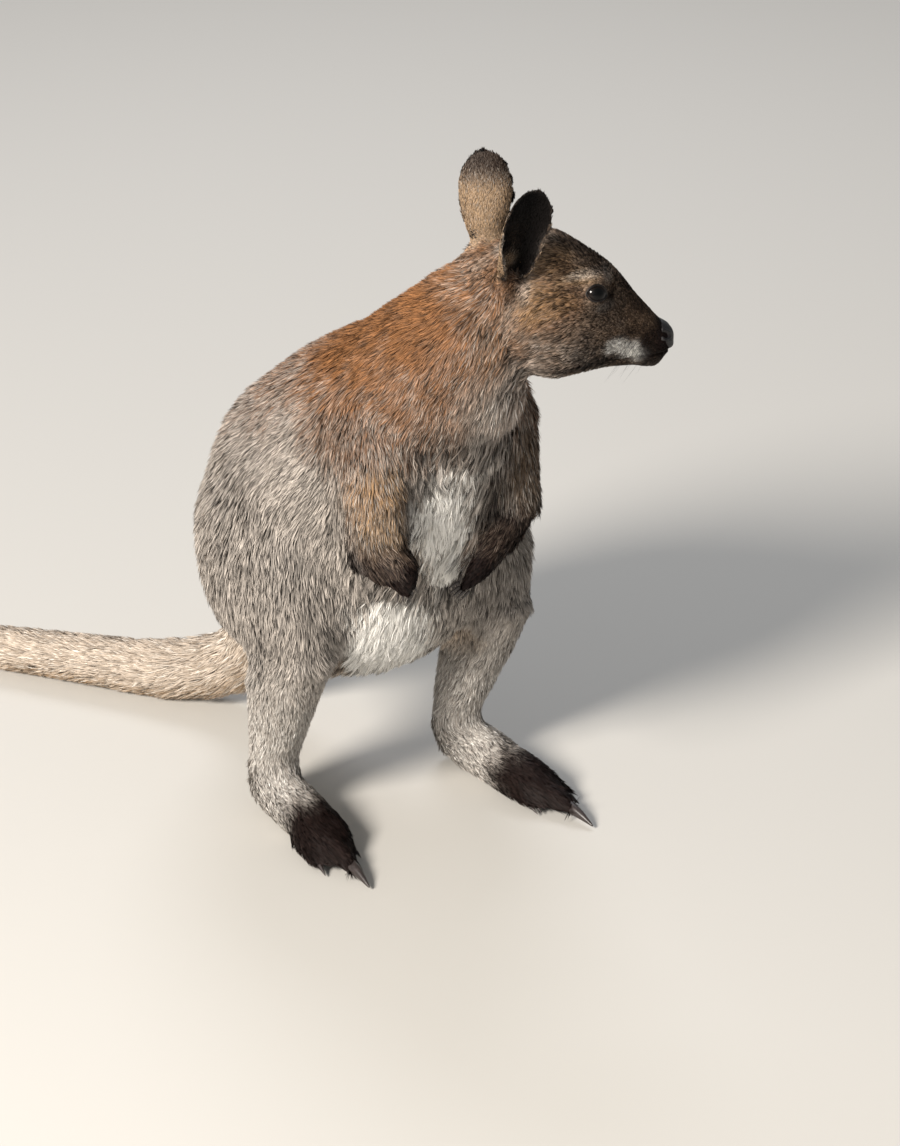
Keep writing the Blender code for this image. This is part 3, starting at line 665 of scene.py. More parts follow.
def markFront(masks):
    # The breast is less rufous, and above it the head's markings stay on the head
    front, head = marks["front"], marks["head"]
    onHead = np.isin(family, ("head", "lower_jaw", "ear")).astype(float)
    ahead = smoothStep(-skinNormals[:, 1], *front["facing"]) * smoothStep(bodyZ, *front["height"])
    behindFace = np.where(onHead > 0, headX < head["rufousUpTo"], 1)
    masks["rufous"] *= (1 - front["rufousLost"] * ahead) * behindFace
    masks["brown"] *= np.maximum(onHead, (bodyZ < head["brownBelow"]) | (headX > head["brownFrom"]))
    atLeast(masks, "brown", front["brown"] * ahead * (bodyZ > front["brownAbove"]))
    for name in ("charcoal", "ochre"):
        masks[name] *= np.where(bodyZ > head["aloneAbove"], onHead, 1)


def markLimbs(masks):
    # Pale shanks, dark toes, hands and crook of the arm
    legs, arms = marks["legs"], marks["arms"]
    onLeg = np.isin(family, ("shank", "foot", "thigh"))
    atLeast(masks, "cream", legs["cream"] * smoothStep(bodyZ, *legs["height"]) * onLeg)
    wander = softNoise(skinBody, 0.016, 71) * legs["ragged"]
    toes = smoothStep(footAhead() + legs["raggedToes"] * wander, *legs["toes"]) * (family == "foot")
    atLeast(masks, "charcoal", toes)
    masks["cream"] *= 1 - toes
    masks["charcoal"] = np.where(family == "hand", 1.0, masks["charcoal"])
    pale = masks["cream"]
    masks["cream"] = np.where(np.isin(family, ("hand", "forearm")), pale * arms["cream"], pale)
    onArm = np.isin(family, ("forearm", "upper_arm"))
    atLeast(masks, "charcoal", onArm * smoothStep(bodyZ, *arms["height"]) * arms["charcoal"])


def markTail(masks):
    # Pale tan above, ochre below, dark at the tip
    tail = marks["tail"]
    onTail = np.char.startswith(family, "tail")
    rump = (family == "trunk") & (bodyY > tail["rumpFrom"])
    share = (onTail | rump) * smoothStep(bodyZ, *tail["height"])
    below = smoothStep(-skinNormals[:, 2], *tail["under"])
    atLeast(masks, "ochre", share * (tail["ochre"] + tail["ochreUnder"] * below))
    masks["cream"] *= 1 - share
    atLeast(masks, "cream", share * tail["cream"])
    atLeast(masks, "charcoal", smoothStep(bodyY, *tail["tip"]) * onTail * tail["charcoal"])


def markLips(masks):
    lips = marks["lips"]
    line = smoothStep(abs(headZ - mouthHeight(headX)), *lips["gap"])
    atLeast(masks, "charcoal", lips["charcoal"] * (line * smoothStep(headX, *lips["corner"]) * ~isEar))


def markEars(masks):
    # Tan backs with a dark tip and rim; the cup's inner face is darkened as painted shade, with pale hair at
    # the edges
    ears = marks["ears"]
    inside, outside = earFace * isEar, (1 - earFace) * isEar
    tip = smoothStep(earUp, *ears["tip"])
    frontRim = ears["frontRimShare"] * smoothStep(earAcross, *ears["frontRim"])
    rim = np.maximum(smoothStep(-earAcross, *ears["rearRim"]), frontRim)
    rim = rim * (1 - smoothStep(earUp, *ears["rimTo"])) * smoothStep(earUp, *ears["rimFrom"])
    # painted shade: charcoal over the cup's inner face, cleared towards the rim
    darkTip, cupShade = ears["charcoalTip"] * tip * outside, inside * (1 - ears["rimCleared"] * rim)
    shares = {
        "rufous": ears["rufous"] * outside * (1 - tip),
        "ochre": ears["ochre"] * outside * (1 - tip),
        "charcoal": np.maximum(darkTip, cupShade),
        "brown": np.maximum(ears["brownTip"] * tip, ears["brownInside"] * inside),
        "cream": ears["creamRim"] * inside * rim + ears["creamBack"] * outside * (1 - tip),
    }
    for name, share in shares.items():
        masks[name] = np.where(isEar, share, masks[name])
    masks["earInside"] = inside


def makeMasks():
    masks = {}
    for seed, (name, rows) in enumerate(markingsAndShade.items()):
        masks[name] = blobMask(rows, 11 + 2 * seed, markFade[name])
    for mark in (markFront, markLimbs, markTail, markLips, markEars):
        mark(masks)
    return {name: np.clip(spread(mask, skinEdges, 6), 0, 1) for name, mask in masks.items()}


masks = makeMasks()
report("markings laid out")

# Lie of the coat: lines that the hair follows, each a few points in one of the two frames, in
# millimetres. "both" and "head" lines count on either side. The second word says which parts they lead.
hairLines = [
    ("head", "head", ((158, 0, -30), (125, 0, 6), (90, 0, 36), (50, 0, 56), (10, 0, 46), (-30, 0, 10))),
    ("head", "head", ((150, 14, -46), (120, 26, -34), (80, 36, -16), (40, 41, -16), (-10, 46, -46))),
    ("head", "head", ((150, 10, -66), (110, 24, -60), (70, 36, -56), (30, 40, -66), (-10, 40, -96))),
    ("head", "head", ((120, 16, 0), (98, 28, 20), (60, 36, 26), (30, 36, 22), (0, 40, 0))),
    ("head", "head", ((145, 0, -80), (90, 0, -80), (30, 0, -82), (-10, 0, -100))),
    ("head", "ear", ((-2, 22, 10), (6, 30, 33), (16, 54, 113), (18, 58, 130))),
    ("body", "trunk", ((-5, 20, 560), (-6, 90, 500), (-6, 170, 460), (-6, 240, 405), (-5, 305, 330),
     (-5, 348, 250), (-5, 375, 160), (-20, 400, 90))),
    ("both", "trunk", ((48, -10, 545), (58, 15, 505), (90, 45, 455), (112, 85, 400), (128, 125, 335),
     (140, 150, 270), (150, 155, 200))),
    ("both", "trunk", ((60, 110, 470), (100, 165, 405), (130, 215, 330), (138, 240, 250), (130, 235, 170))),
    ("both", "trunk", ((60, 200, 430), (90, 270, 350), (95, 320, 260), (70, 350, 170))),
    ("body", "trunk", ((45, -30, 515), (10, -36, 470), (-10, -6, 400), (-10, 30, 330), (-10, 60, 260),
     (-10, 95, 195), (-8, 150, 150), (-6, 260, 130), (-10, 350, 60))),
    ("both", "trunk", ((45, -10, 470), (58, 10, 420), (46, 26, 360), (34, 46, 300), (46, 70, 250),
     (50, 100, 195), (50, 145, 165))),
    ("both", "trunk", ((95, 75, 300), (90, 90, 230), (85, 130, 170))),
    ("both", "leg", ((150, 200, 320), (155, 165, 240), (140, 150, 170), (125, 160, 110), (118, 185, 60))),
    ("both", "leg", ((110, 100, 300), (118, 85, 230), (105, 110, 160), (96, 140, 110), (94, 160, 70),
     (94, 150, 50))),
    ("both", "leg", ((140, 270, 300), (130, 260, 210), (110, 205, 140), (98, 205, 80), (95, 215, 40))),
    ("both", "leg", ((60, 150, 200), (70, 160, 130), (74, 180, 70))),
    ("both", "arm", ((85, 50, 430), (85, 40, 380), (88, 30, 330), (84, 10, 305))),
    ("tail", "tail", ((0, 300, 180), (-4, 352, 112), (-20, 390, 56), (-62, 445, 30), (-112, 510, 26),
     (-165, 580, 23), (-222, 650, 20), (-290, 712, 16), (-366, 758, 11), (-440, 790, 8))),
    ("body", "arm", ((67, 70, 330), (62, 50, 312), (40, 34, 296), (16, 30, 280), (-2, 34, 262))),
    ("body", "arm", ((-90, 50, 330), (-88, 30, 322), (-84, 6, 316), (-80, -6, 300))),
]
groupOf = {
    "head": "head", "lower_jaw": "head", "ear": "ear", "neck": "trunk", "trunk": "trunk", "thigh": "leg",
    "shank": "leg", "foot": "foot", "upper_arm": "arm", "forearm": "arm", "hand": "arm",
    "tail_root": "tail", "tail_middle": "tail", "tail_tip": "tail",
}
combing = {"step": 0.010, "near": 0.006, "footDip": -0.15}


def guidesOf(group):
    # (places, directions) along the group's hair lines, every centimetre or so, in the row's frame
    places, ways = [], []
    for where, leads, line in hairLines:
        if leads != group:
            continue
        for side in (1, -1) if where in ("head", "both") else (1,):
            row = np.array(line, float) / 1000
            if where == "head":
                row[:, 1] *= side
            elif where == "both":
                row[:, 0] = row[:, 0] * side + middleX["hair"]
            row = fromHead(row) if where == "head" else fromBody(row)
            for start, end in zip(row[:-1], row[1:]):
                steps = max(2, round(float(np.linalg.norm(end - start)) / combing["step"]))
                for k in range(steps):
                    places.append(start + (end - start) * (k + 0.5) / steps)
                    ways.append(unit(end - start))
    return np.array(places), np.array(ways)


def alongSkin(flow):
    return unit(flow - skinNormals * (flow * skinNormals).sum(1, keepdims=True))


def hairFlow():
    flow = np.zeros_like(skinPoints)
    group = np.array([groupOf[f] for f in family])
    for name in ("head", "ear", "trunk", "leg", "arm", "tail"):
        at = np.nonzero(group == name)[0]
        places, ways = guidesOf(name)
        for chunk in np.array_split(at, max(1, len(at) // 8000)):
            away = ((skinPoints[chunk][:, None, :] - places[None]) ** 2).sum(2)
            weight = 1 / (away + combing["near"] ** 2) ** 2
            flow[chunk] = unit(weight @ ways)
    for node, foot in feet.items():
        flow[ownerName == node] = (math.sin(foot["splay"]), -math.cos(foot["splay"]), combing["footDip"])
    for _ in range(6):
        flow = spread(alongSkin(flow), skinEdges, 4)
    return alongSkin(flow)


flow = hairFlow()
report("lie of the coat found")


def storeMasks(mesh, rows, stray=0.0):
    # stray moves a tuft's markings up or down where they fade, so that hairs of both colours mix there
    for name, mask in masks.items():
        values = mask[rows]
        storeValues(mesh, name, np.clip(values + stray * 4 * values * (1 - values), 0, 1))


# Wallaby fur, agouti: each hair is dark at the root with a paler band, so the coat looks grizzled.
# Guard hair is keratin, IOR about 1.55, and dull along a dry coat.
furColours = {  # root, band
    "grey": ("#25211f", "#a39b93"),
    "rufous": ("#2a1a13", "#835a38"),
    "brown": ("#211916", "#87705c"),
    "charcoal": ("#080505", "#201512"),
    "ochre": ("#3c2c1f", "#ab885c"),
    "cream": ("#8a8278", "#fffdf8"),
}
fur = {
    "band": {1: 0.10, 2: 0.80},  # where along the hair its root colour gives way to the band
    "shade": {3: 0.20, 4: 1.75},  # how much darker and lighter than its colour a tuft may be
    "even": {1: 0.3, 2: 1.0, 3: 0.0, 4: 0.24}, "evenShade": 2.3,  # white hair has no dark hair among it
    "palest": (0.92, 0.90, 0.86),
    "surface": {"Roughness": 0.62, "IOR": 1.55, "Specular IOR Level": 0.15},
}
hide = {
    "strands": {"Scale": scaleOf(10 / 9), "Detail": 4.0},  # nine wisps to the centimetre
    "blend": {1: 0.35, 2: 0.75, 3: 0.15, 4: 0.75}, "creamCover": 0.9,  # short pale hair hides it better
    # painted shade: the hide in the ear's cup is near-black for the shade that falls in it
    "earInside": "#050404",
    "bump": {"Strength": 0.35, "Distance": 0.0008},
    "surface": {"Roughness": 0.7, "IOR": 1.45, "Specular IOR Level": 0.08},
}


def markedColour(material, column):
    # The marking colours mixed over the grey in turn, for the root (0) or the band (1) of the hair
    colour = hexColour(furColours["grey"][column])
    for name in ("brown", "rufous", "ochre", "cream", "charcoal"):
        mask = addNode(material, "ShaderNodeAttribute", attribute_name=name)
        sockets = {0: mask.outputs["Fac"], 6: colour, 7: hexColour(furColours[name][column])}
        colour = addNode(material, "ShaderNodeMix", sockets, data_type="RGBA").outputs[2]
    return colour


def furMaterial():
    hair = newMaterial("guard_hair")
    along = addNode(hair, "ShaderNodeAttribute", attribute_name="along")
    tone = addNode(hair, "ShaderNodeAttribute", attribute_name="tone")
    pale = addNode(hair, "ShaderNodeAttribute", attribute_name="cream")
    grade = addNode(hair, "ShaderNodeMapRange", {"Value": along.outputs["Fac"], **fur["band"]})
    root, band = markedColour(hair, 0), markedColour(hair, 1)
    colour = addNode(hair, "ShaderNodeMix", {0: grade.outputs[0], 6: root, 7: band}, data_type="RGBA")
    shade = addNode(hair, "ShaderNodeMapRange", {"Value": tone.outputs["Fac"], **fur["shade"]})
    even = addNode(hair, "ShaderNodeMapRange", {"Value": pale.outputs["Fac"], **fur["even"]})
    shade = addNode(hair, "ShaderNodeMix", {0: even.outputs[0], 2: shade.outputs[0], 3: fur["evenShade"]})
    sockets = {0: colour.outputs[2], 1: shade.outputs[0]}
    toned = addNode(hair, "ShaderNodeVectorMath", sockets, operation="MULTIPLY")
    sockets = {0: toned.outputs[0], 1: fur["palest"]}
    toned = addNode(hair, "ShaderNodeVectorMath", sockets, operation="MINIMUM")
    sockets = {"Base Color": toned.outputs[0], **fur["surface"]}
    return shown(hair, addNode(hair, "ShaderNodeBsdfPrincipled", sockets))


def skinMaterial():
    # Hide under the coat: the coat's root colours, with the fine grain of short under-fur as bump
    leather = newMaterial("furred_hide")
    spot = addNode(leather, "ShaderNodeTexCoord")
    pale = addNode(leather, "ShaderNodeAttribute", attribute_name="cream")
    inside = addNode(leather, "ShaderNodeAttribute", attribute_name="earInside")
    sockets = {"Vector": spot.outputs["Object"], **hide["strands"]}
    strands = addNode(leather, "ShaderNodeTexNoise", sockets).outputs["Fac"]
    root, band = markedColour(leather, 0), markedColour(leather, 1)
    blend = addNode(leather, "ShaderNodeMapRange", {"Value": strands, **hide["blend"]})
    sockets = {0: pale.outputs["Fac"], 1: hide["creamCover"], 2: blend.outputs[0]}
    cover = addNode(leather, "ShaderNodeMath", sockets, operation="MULTIPLY_ADD", use_clamp=True)
    colour = addNode(leather, "ShaderNodeMix", {0: cover.outputs[0], 6: root, 7: band}, data_type="RGBA")
    # painted shade: near-black hide over the ear's cup
    sockets = {0: inside.outputs["Fac"], 6: colour.outputs[2], 7: hexColour(hide["earInside"])}
    colour = addNode(leather, "ShaderNodeMix", sockets, data_type="RGBA")
    bump = addNode(leather, "ShaderNodeBump", {"Height": strands, **hide["bump"]})
    sockets = {"Base Color": colour.outputs[2], "Normal": bump.outputs[0], **hide["surface"]}
    return shown(leather, addNode(leather, "ShaderNodeBsdfPrincipled", sockets))


storeMasks(skinMesh, np.arange(len(skinPoints)))
newPiece("skin", skinMesh, skinMaterial(), fleshNodes)
guardHair = furMaterial()


# Regions of the coat. Lengths and widths are of one tuft, in metres. A region takes what it doesn't name
# from the common coat: how many locks there are to a tuft, how far tufts gather into their lock, how far
# they differ in tone, how far their markings stray, how pale they are at the root, and their bends.
commonCoat = {
    "slot": "grey_coat", "locks": 0.27, "gather": 0.52, "grizzle": 1.0, "stray": 0.22, "paleRoot": 0.0,
    "bends": 1,
}
coatRegions = [
    {"name": "coat_face", "nodes": ("head", "lower_jaw"), "face": True, "count": 54000, "length": 0.0078,
     "width": 0.0009, "locks": 0.14, "gather": 0.45, "grizzle": 1.45, "stray": 0.08},
    {"name": "coat_head", "nodes": ("head", "lower_jaw"), "face": False, "count": 34000, "length": 0.0092,
     "width": 0.0011, "locks": 0.16, "gather": 0.50, "grizzle": 1.3, "stray": 0.10},
    {"name": "coat_ears", "nodes": ("ear",), "count": 26000, "length": 0.0050, "width": 0.0007,
     "locks": 0.25, "gather": 0.12, "grizzle": 0.5},
    {"name": "coat_neck", "nodes": ("neck",), "breast": False, "count": 42000, "length": 0.019,
     "width": 0.0013, "slot": "rufous_coat"},
    {"name": "coat_left", "nodes": ("trunk",), "breast": False, "side": 1, "count": 52000,
     "length": 0.023, "width": 0.0015},
    {"name": "coat_right", "nodes": ("trunk",), "breast": False, "side": -1, "count": 52000,
     "length": 0.023, "width": 0.0015},
    {"name": "coat_breast", "nodes": ("trunk", "neck"), "breast": True, "count": 34000, "length": 0.036,
     "width": 0.0013, "slot": "pale_coat", "locks": 0.10, "gather": 0.76, "grizzle": 1.35, "bends": 2},
    {"name": "coat_thighs", "nodes": ("thigh",), "count": 50000, "length": 0.021, "width": 0.0015,
     "grizzle": 0.85},
    {"name": "coat_shanks", "nodes": ("shank",), "count": 30000, "length": 0.013, "width": 0.0010,
     "grizzle": 0.5, "paleRoot": 0.30},
    {"name": "coat_feet", "nodes": ("foot",), "count": 24000, "length": 0.013, "width": 0.0010,
     "slot": "dark_coat", "grizzle": 0.6, "paleRoot": 0.20},
    {"name": "coat_tail", "nodes": ("tail_root", "tail_middle", "tail_tip"), "count": 42000,
     "length": 0.013, "width": 0.0011, "grizzle": 0.40, "paleRoot": 0.25},
    {"name": "coat_arms", "nodes": ("upper_arm", "forearm", "hand"), "count": 38000, "length": 0.014,
     "width": 0.0012, "grizzle": 0.9},
]
lengthShare = {  # of the region's tuft length, where a part's hair is shorter or longer than its region's
    "foot": 0.72, "tail_root": 1.5, "tail_tip": 0.9, "upper_arm": 1.25, "hand": 0.45, "forearm": 0.95,
}
tuft = {
    "widths": (0.75, 1.3), "lengths": (0.72, 1.22), "lifts": (0.40, 1.0), "twist": 0.55, "curl": 0.0011,
    "sway": 0.16, "swayWaves": ((0.16, 0.018, 5), (0.14, 0.05, 6)),  # strength, size, seed
    "rootDepth": 0.0010, "floorGap": 0.0003, "patch": 0.0030, "skinShading": 0.50, "crowding": 0.8,
    "mostLift": 0.75, "leastReach": 0.4,  # shares of its length
    # Rows by the number of bends: how far along the tuft, half its width there, share of the tip's height
    "stations": {
        1: ((0.0, 0.5, 0.0), (0.50, 0.42, 0.68)),
        2: ((0.0, 0.5, 0.0), (0.36, 0.50, 0.60), (0.70, 0.34, 0.92)),
    },
}
# Nearly a third of the hair is dark and nearly a third silver-tipped, by the lock and by the tuft, which
# grizzles the coat.
tones = {
    "levels": (0.10, 0.50, 0.92), "shares": (0.30, 0.42, 0.28), "ofLock": 0.52, "ofTuft": 0.48,
    # the last share darkens the tufts in the ear's cup as painted shade
    "waves": ((0.06, 0.045, 9), (0.07, 0.010, 15)), "jitter": 0.06, "insideEar": 0.6,
}
nosePad = {  # a bare pad that follows the end of the muzzle, laid out by direction from a point inside it
    "from": np.array([0.1400, 0.0, -0.0460]),  # in the head's frame
    "side": math.radians(74), "top": math.radians(62), "bottom": math.radians(45), "lipPinch": 0.18,
    "hairFrom": 0.88, "under": 1.06, "crowding": 0.8, "thick": 0.0016, "tuck": 0.0034, "tuckFrom": 0.78,
    "around": 144, "rings": 72, "evened": 14,
    "nostrilOut": math.radians(50), "nostrilUp": math.radians(14), "nostrilSlant": (-0.75, 0.35, 0.55),
    # Hollows and rims round a nostril: height, then place and half width along its slant and beside it
    "nostril": (
        (-0.0058, 0.0, 0.0030, 0.0, 0.0019), (-0.0022, 0.0040, 0.0022, 0.0, 0.0011),
        (0.0009, 0.0, 0.0046, 0.0036, 0.0014),
    ),
    "groove": 0.0009, "grooveWidth": 0.0008,
}
# Where the hair is longer or shorter, and how far it stands off, as shares of its region's own or, below
# zero, of what it loses. A pair is where a change fades in: metres, or for the ear's tip and rim, shares.
hairShares = {
    "head": 1.35, "face": -0.95, "faceFrom": (0.02, 0.13), "eye": 0.55, "eyeFrom": (0.014, 0.026),
    "thigh": -0.36, "thighFrom": (0.245, 0.180), "earTip": -0.30, "earTipFrom": (0.5, 0.9),
    "earRim": 0.15, "earRimFrom": (0.5, 0.8), "earBase": -0.5, "earBaseFrom": (0.032, 0.020),
    "foot": 1.15, "toes": 0.60, "toesFrom": (0.115, 0.150),
    "throatAt": (0.018, 0.0, -0.088), "throat": 0.8, "throatSize": (0.030, 0.040, 0.030),
    "throatStand": 1.1, "standSize": (0.034, 0.040, 0.030),
    "kneeStand": -0.62, "kneeAt": (0.120, 0.091, 0.196), "kneeSize": (0.030, 0.040, 0.036),
}
bald = {  # where the bare patches end
    "lids": 1.13, "lidReach": 0.014, "lidBack": -0.003,  # share of the opening, from the eye, along the gaze
    "earCup": 0.85, "earCupEdge": (0.35, 0.75), "lips": 0.0005, "mouthCorner": 0.104,
    "soleHeight": 0.006, "soleSlope": -0.6,
}


def breastShare():
    # 1 on the long-haired breast and belly, 0 elsewhere
    front = smoothStep(-skinNormals[:, 1] - 0.3 * skinNormals[:, 2], 0.15, 0.45)
    wide = smoothStep(abs(bodyX + 0.012), 0.085, 0.060)
    return front * wide * smoothStep(bodyZ, 0.445, 0.415) * (bodyY < 0.20)


def noseEdge(turn):
    # The pad's edge as an angle off the muzzle's line: wide at the sides, narrow down to the lip
    c, s = np.cos(turn), np.sin(turn)
    end = np.where(s > 0, nosePad["top"], nosePad["bottom"])
    oval = nosePad["side"] * end / np.sqrt((end * c) ** 2 + (nosePad["side"] * s) ** 2)
    return oval * (1 - nosePad["lipPinch"] * c**2 * (s < 0))


def baldness():
    # Where no tuft grows: over the eyes and lids, in the mouth's line, on the nose and the soles
    share = earFace * isEar * (1 - smoothStep(abs(earAcross), *bald["earCupEdge"])) * bald["earCup"]
    for side in (1, -1):
        centre, gaze, forward, upward = eyeArrays(side)
        off = skinPoints - centre
        u, v = off @ forward, off @ upward
        near = (openingShare(u, v) < bald["lids"]) & (np.hypot(u, v) < bald["lidReach"])
        share = np.maximum(share, near & (off @ gaze > bald["lidBack"]))
    inMouth = (abs(headZ - mouthHeight(headX)) < bald["lips"]) & (headX > bald["mouthCorner"])
    ahead, aside, up = (skinHead - nosePad["from"]).T
    edge = noseEdge(np.arctan2(up, aside)) * nosePad["hairFrom"]
    onNose = (np.arctan2(np.hypot(aside, up), ahead) < edge) & (ahead > 0)
    sole = (family == "foot") & (bodyZ < bald["soleHeight"]) & (skinNormals[:, 2] < bald["soleSlope"])
    return np.maximum(share, (inMouth | onNose) & ~isEar | sole)


def lengthField():
    # How long the hair is at each skin point, as a share of its region's length
    by = hairShares
    onFace = by["head"] + by["face"] * smoothStep(headX, *by["faceFrom"])
    share = np.where(np.isin(family, ("head", "lower_jaw")), onFace, 1.0)
    for side in (1, -1):
        away = smoothStep(awayFromEye(skinPoints, side), *by["eyeFrom"])
        share *= by["eye"] + (1 - by["eye"]) * away
    share *= 1 + by["thigh"] * (family == "thigh") * smoothStep(bodyZ, *by["thighFrom"])
    rims = isEar * earFace * smoothStep(abs(earAcross), *by["earRimFrom"])
    share *= 1 + by["earTip"] * isEar * smoothStep(earUp, *by["earTipFrom"]) + by["earRim"] * rims
    for side in (1, -1):
        away = np.linalg.norm(skinHead - earPlace["base"] * (1, side, 1), axis=1)
        share *= 1 + by["earBase"] * smoothStep(away, *by["earBaseFrom"]) * (earUp < 0.2)
    share *= 1 + by["throat"] * softBlob(skinHead, by["throatAt"], by["throatSize"])
    onFoot = by["foot"] + by["toes"] * smoothStep(footAhead(), *by["toesFrom"])
    return spread(np.where(family == "foot", onFoot, share), skinEdges, 12)


def standField():
    # How far the hair stands off the skin, as a share of the coat's depth: more at the throat, where it
    # fills the hollow under the jaw, and less over the outer side of the knee
    by = hairShares
    bothSides = np.stack([abs(bodyX - middleX["marks"]), bodyY, bodyZ], 1)
    stand = 1 + by["throatStand"] * softBlob(skinHead, by["throatAt"], by["standSize"])
    return stand * (1 + by["kneeStand"] * softBlob(bothSides, by["kneeAt"], by["kneeSize"]))


breast, bare = breastShare(), baldness()
hairLength, hairStand = lengthField(), standField()


def regionWeight(region):
    weight = np.isin(family, region["nodes"]).astype(float)
    if "side" in region:
        weight *= (bodyX - middleX["hair"]) * region["side"] > 0
    if "breast" in region:
        weight *= (breast >= 0.5) == region["breast"]
    if "face" in region:
        weight *= (headX > 0.050) == region["face"]
    return weight


def unwrapped(weight):
    # UVs of the region's own stretch of skin, laid out on its own, for the places of the tufts' patches
    rows = np.nonzero((weight[skinTriangles] > 0).any(1))[0]
    used, index = np.unique(skinTriangles[rows], return_inverse=True)
    piece = linked("unwrap", meshFrom("unwrap", skinPoints[used], index.reshape(-1, 3)))
    bpy.context.view_layer.objects.active = piece
    piece.select_set(True)
    bpy.ops.object.mode_set(mode="EDIT")
    bpy.ops.mesh.select_all(action="SELECT")
    bpy.ops.uv.smart_project(angle_limit=math.radians(75), island_margin=0.004)
    bpy.ops.object.mode_set(mode="OBJECT")
    corners = rowsOf(piece.data.uv_layers.active.data, "uv", 2).reshape(-1, 3, 2)
    bpy.data.objects.remove(piece)
    return rows, corners


def locksOf(roots, share, draw):
    # For each tuft, its lock and the tuft in the lock's middle: tips lean towards that one's, so that the
    # hair gathers as it does on a live coat
    pick = draw.permutation(len(roots))[: max(8, int(len(roots) * share))]
    tree = KDTree(len(pick))
    for k, index in enumerate(pick):
        tree.insert(roots[index], k)
    tree.balance()
    lock = np.array([tree.find(p)[1] for p in roots])
    return lock, pick[lock]


def tonesOf(lock, body, draw):
    ofLock = draw.choice(tones["levels"], size=lock.max() + 1, p=tones["shares"])[lock]
    ofTuft = draw.choice(tones["levels"], size=len(lock), p=tones["shares"])
    tone = tones["ofLock"] * ofLock + tones["ofTuft"] * ofTuft
    for strength, size, seed in tones["waves"]:
        tone += strength * softNoise(body, size, seed)
    return tone + tones["jitter"] * draw.normal(size=len(lock))


def bladePoints(bends, root, tip, normal, across, wide, draw):
    # Each tuft's points: two at each station, one at either edge of its blade, and the tip
    twist = draw.normal(size=len(root)) * tuft["twist"]
    side = across * np.cos(twist)[:, None] + normal * np.sin(twist)[:, None]
    wave = draw.normal(size=(len(root), 1)) * tuft["curl"] if bends > 1 else 0.0
    up = ((tip - root) * normal).sum(1, keepdims=True)
    flat = tip - root - normal * up
    columns = []
    for station, half, height in tuft["stations"][bends]:
        spot = root + flat * station + normal * (up * height - (0 if station else tuft["rootDepth"]))
        spot = spot + across * wave * math.sin(station * 2 * math.pi)
        columns += [spot + side * (sign * half * wide)[:, None] for sign in (-1, 1)]
    points = np.stack(columns + [tip], 1)
    # Each blade's front looks away from the skin.
    front = np.cross(points[:, 1] - points[:, 0], points[:, 3] - points[:, 0])
    turned = (front * normal).sum(1) < 0
    swapped = [k ^ 1 for k in range(len(columns))] + [len(columns)]
    points[turned] = points[turned][:, swapped]
    points[:, :, 2] = np.maximum(points[:, :, 2], tuft["floorGap"])
    return points


def bladeMesh(name, points):
    # The mesh of all the blades, and the point at each of its corners
    count, per = points.shape[:2]
    ladder = []
    for k in range(0, per - 3, 2):
        ladder += [(k, k + 1, k + 3), (k, k + 3, k + 2)]
    ladder.append((per - 3, per - 2, per - 1))
    atCorner = (np.array(ladder)[None] + (np.arange(count) * per)[:, None, None]).ravel()
    faceCount = len(atCorner) // 3
    mesh = bpy.data.meshes.new(name)
    mesh.vertices.add(count * per)
    mesh.vertices.foreach_set("co", points.astype(np.float32).ravel())
    mesh.loops.add(len(atCorner))
    mesh.loops.foreach_set("vertex_index", atCorner.astype(np.int32))
    mesh.polygons.add(faceCount)
    mesh.polygons.foreach_set("loop_start", np.arange(0, len(atCorner), 3, dtype=np.int32))
    smoothShaded(mesh).update(calc_edges=True)
    return mesh, atCorner


def scattered(region, draw):
    # Roots over the region's skin, closer together where the hair is short: for each, its triangle's
    # corners, its place among them and its place on the unwrapped skin
    weight = regionWeight(region)
    rows, corners = unwrapped(weight)
    triangles = skinTriangles[rows]
    a, b, c = (skinPoints[triangles[:, k]] for k in range(3))
    area = np.linalg.norm(np.cross(b - a, c - a), axis=1)
    short = hairLength[triangles].mean(1) ** tuft["crowding"]
    chance = np.cumsum(area * (weight[triangles].mean(1) * (1 - bare[triangles].max(1)) / short))
    count = region["count"] // 1
    picks = (np.arange(count) + draw.random(count)) / count * chance[-1]
    face = np.minimum(np.searchsorted(chance, picks), len(triangles) - 1)
    r1, r2 = np.sqrt(draw.random(count)), draw.random(count)
    bary = np.stack([1 - r1, r1 * (1 - r2), r1 * r2], 1)
    return triangles[face], bary, (corners[face] * bary[:, :, None]).sum(1)


def finishTufts(region, points, main, normal, onMap, tone, stray):
    # The tufts' mesh, with its map, its markings, its shading and its piece
    mesh, atCorner = bladeMesh(region["name"], points)
    count, per = points.shape[:2]
    stations = tuft["stations"][region["bends"]]
    along = np.array([station for station, _, _ in stations for _ in range(2)] + [1.0])
    aside = np.array([-0.5, 0.5] * len(stations) + [0.0])
    # Each tuft's patch of the map: a rectangle at its root's place on the unwrapped skin
    patch = tuft["patch"]
    place = np.clip(onMap, patch, 1 - patch)[:, None] + patch * np.stack([aside, along - 0.5], 1)
    layer = mesh.uv_layers.new(name="OFBake")
    layer.data.foreach_set("uv", place.reshape(-1, 2)[atCorner].astype(np.float32).ravel())
    storeMasks(mesh, np.repeat(main, per), np.repeat(stray, per))
    pale = region["paleRoot"]
    storeValues(mesh, "along", np.tile(pale + (1 - pale) * along, count))
    storeValues(mesh, "tone", np.repeat(tone, per))
    # Shading normals lean from the blade's own towards the skin's, so the coat shades as one soft body.
    lean = tuft["skinShading"]
    soft = unit((1 - lean) * normalsOf(mesh) + lean * np.repeat(normal, per, axis=0))
    mesh.normals_split_custom_set_from_vertices(soft.astype(np.float32))
    newPiece(region["name"], mesh, guardHair)
    report(f"{region['name']}: {count} tufts, {len(mesh.polygons)} triangles")


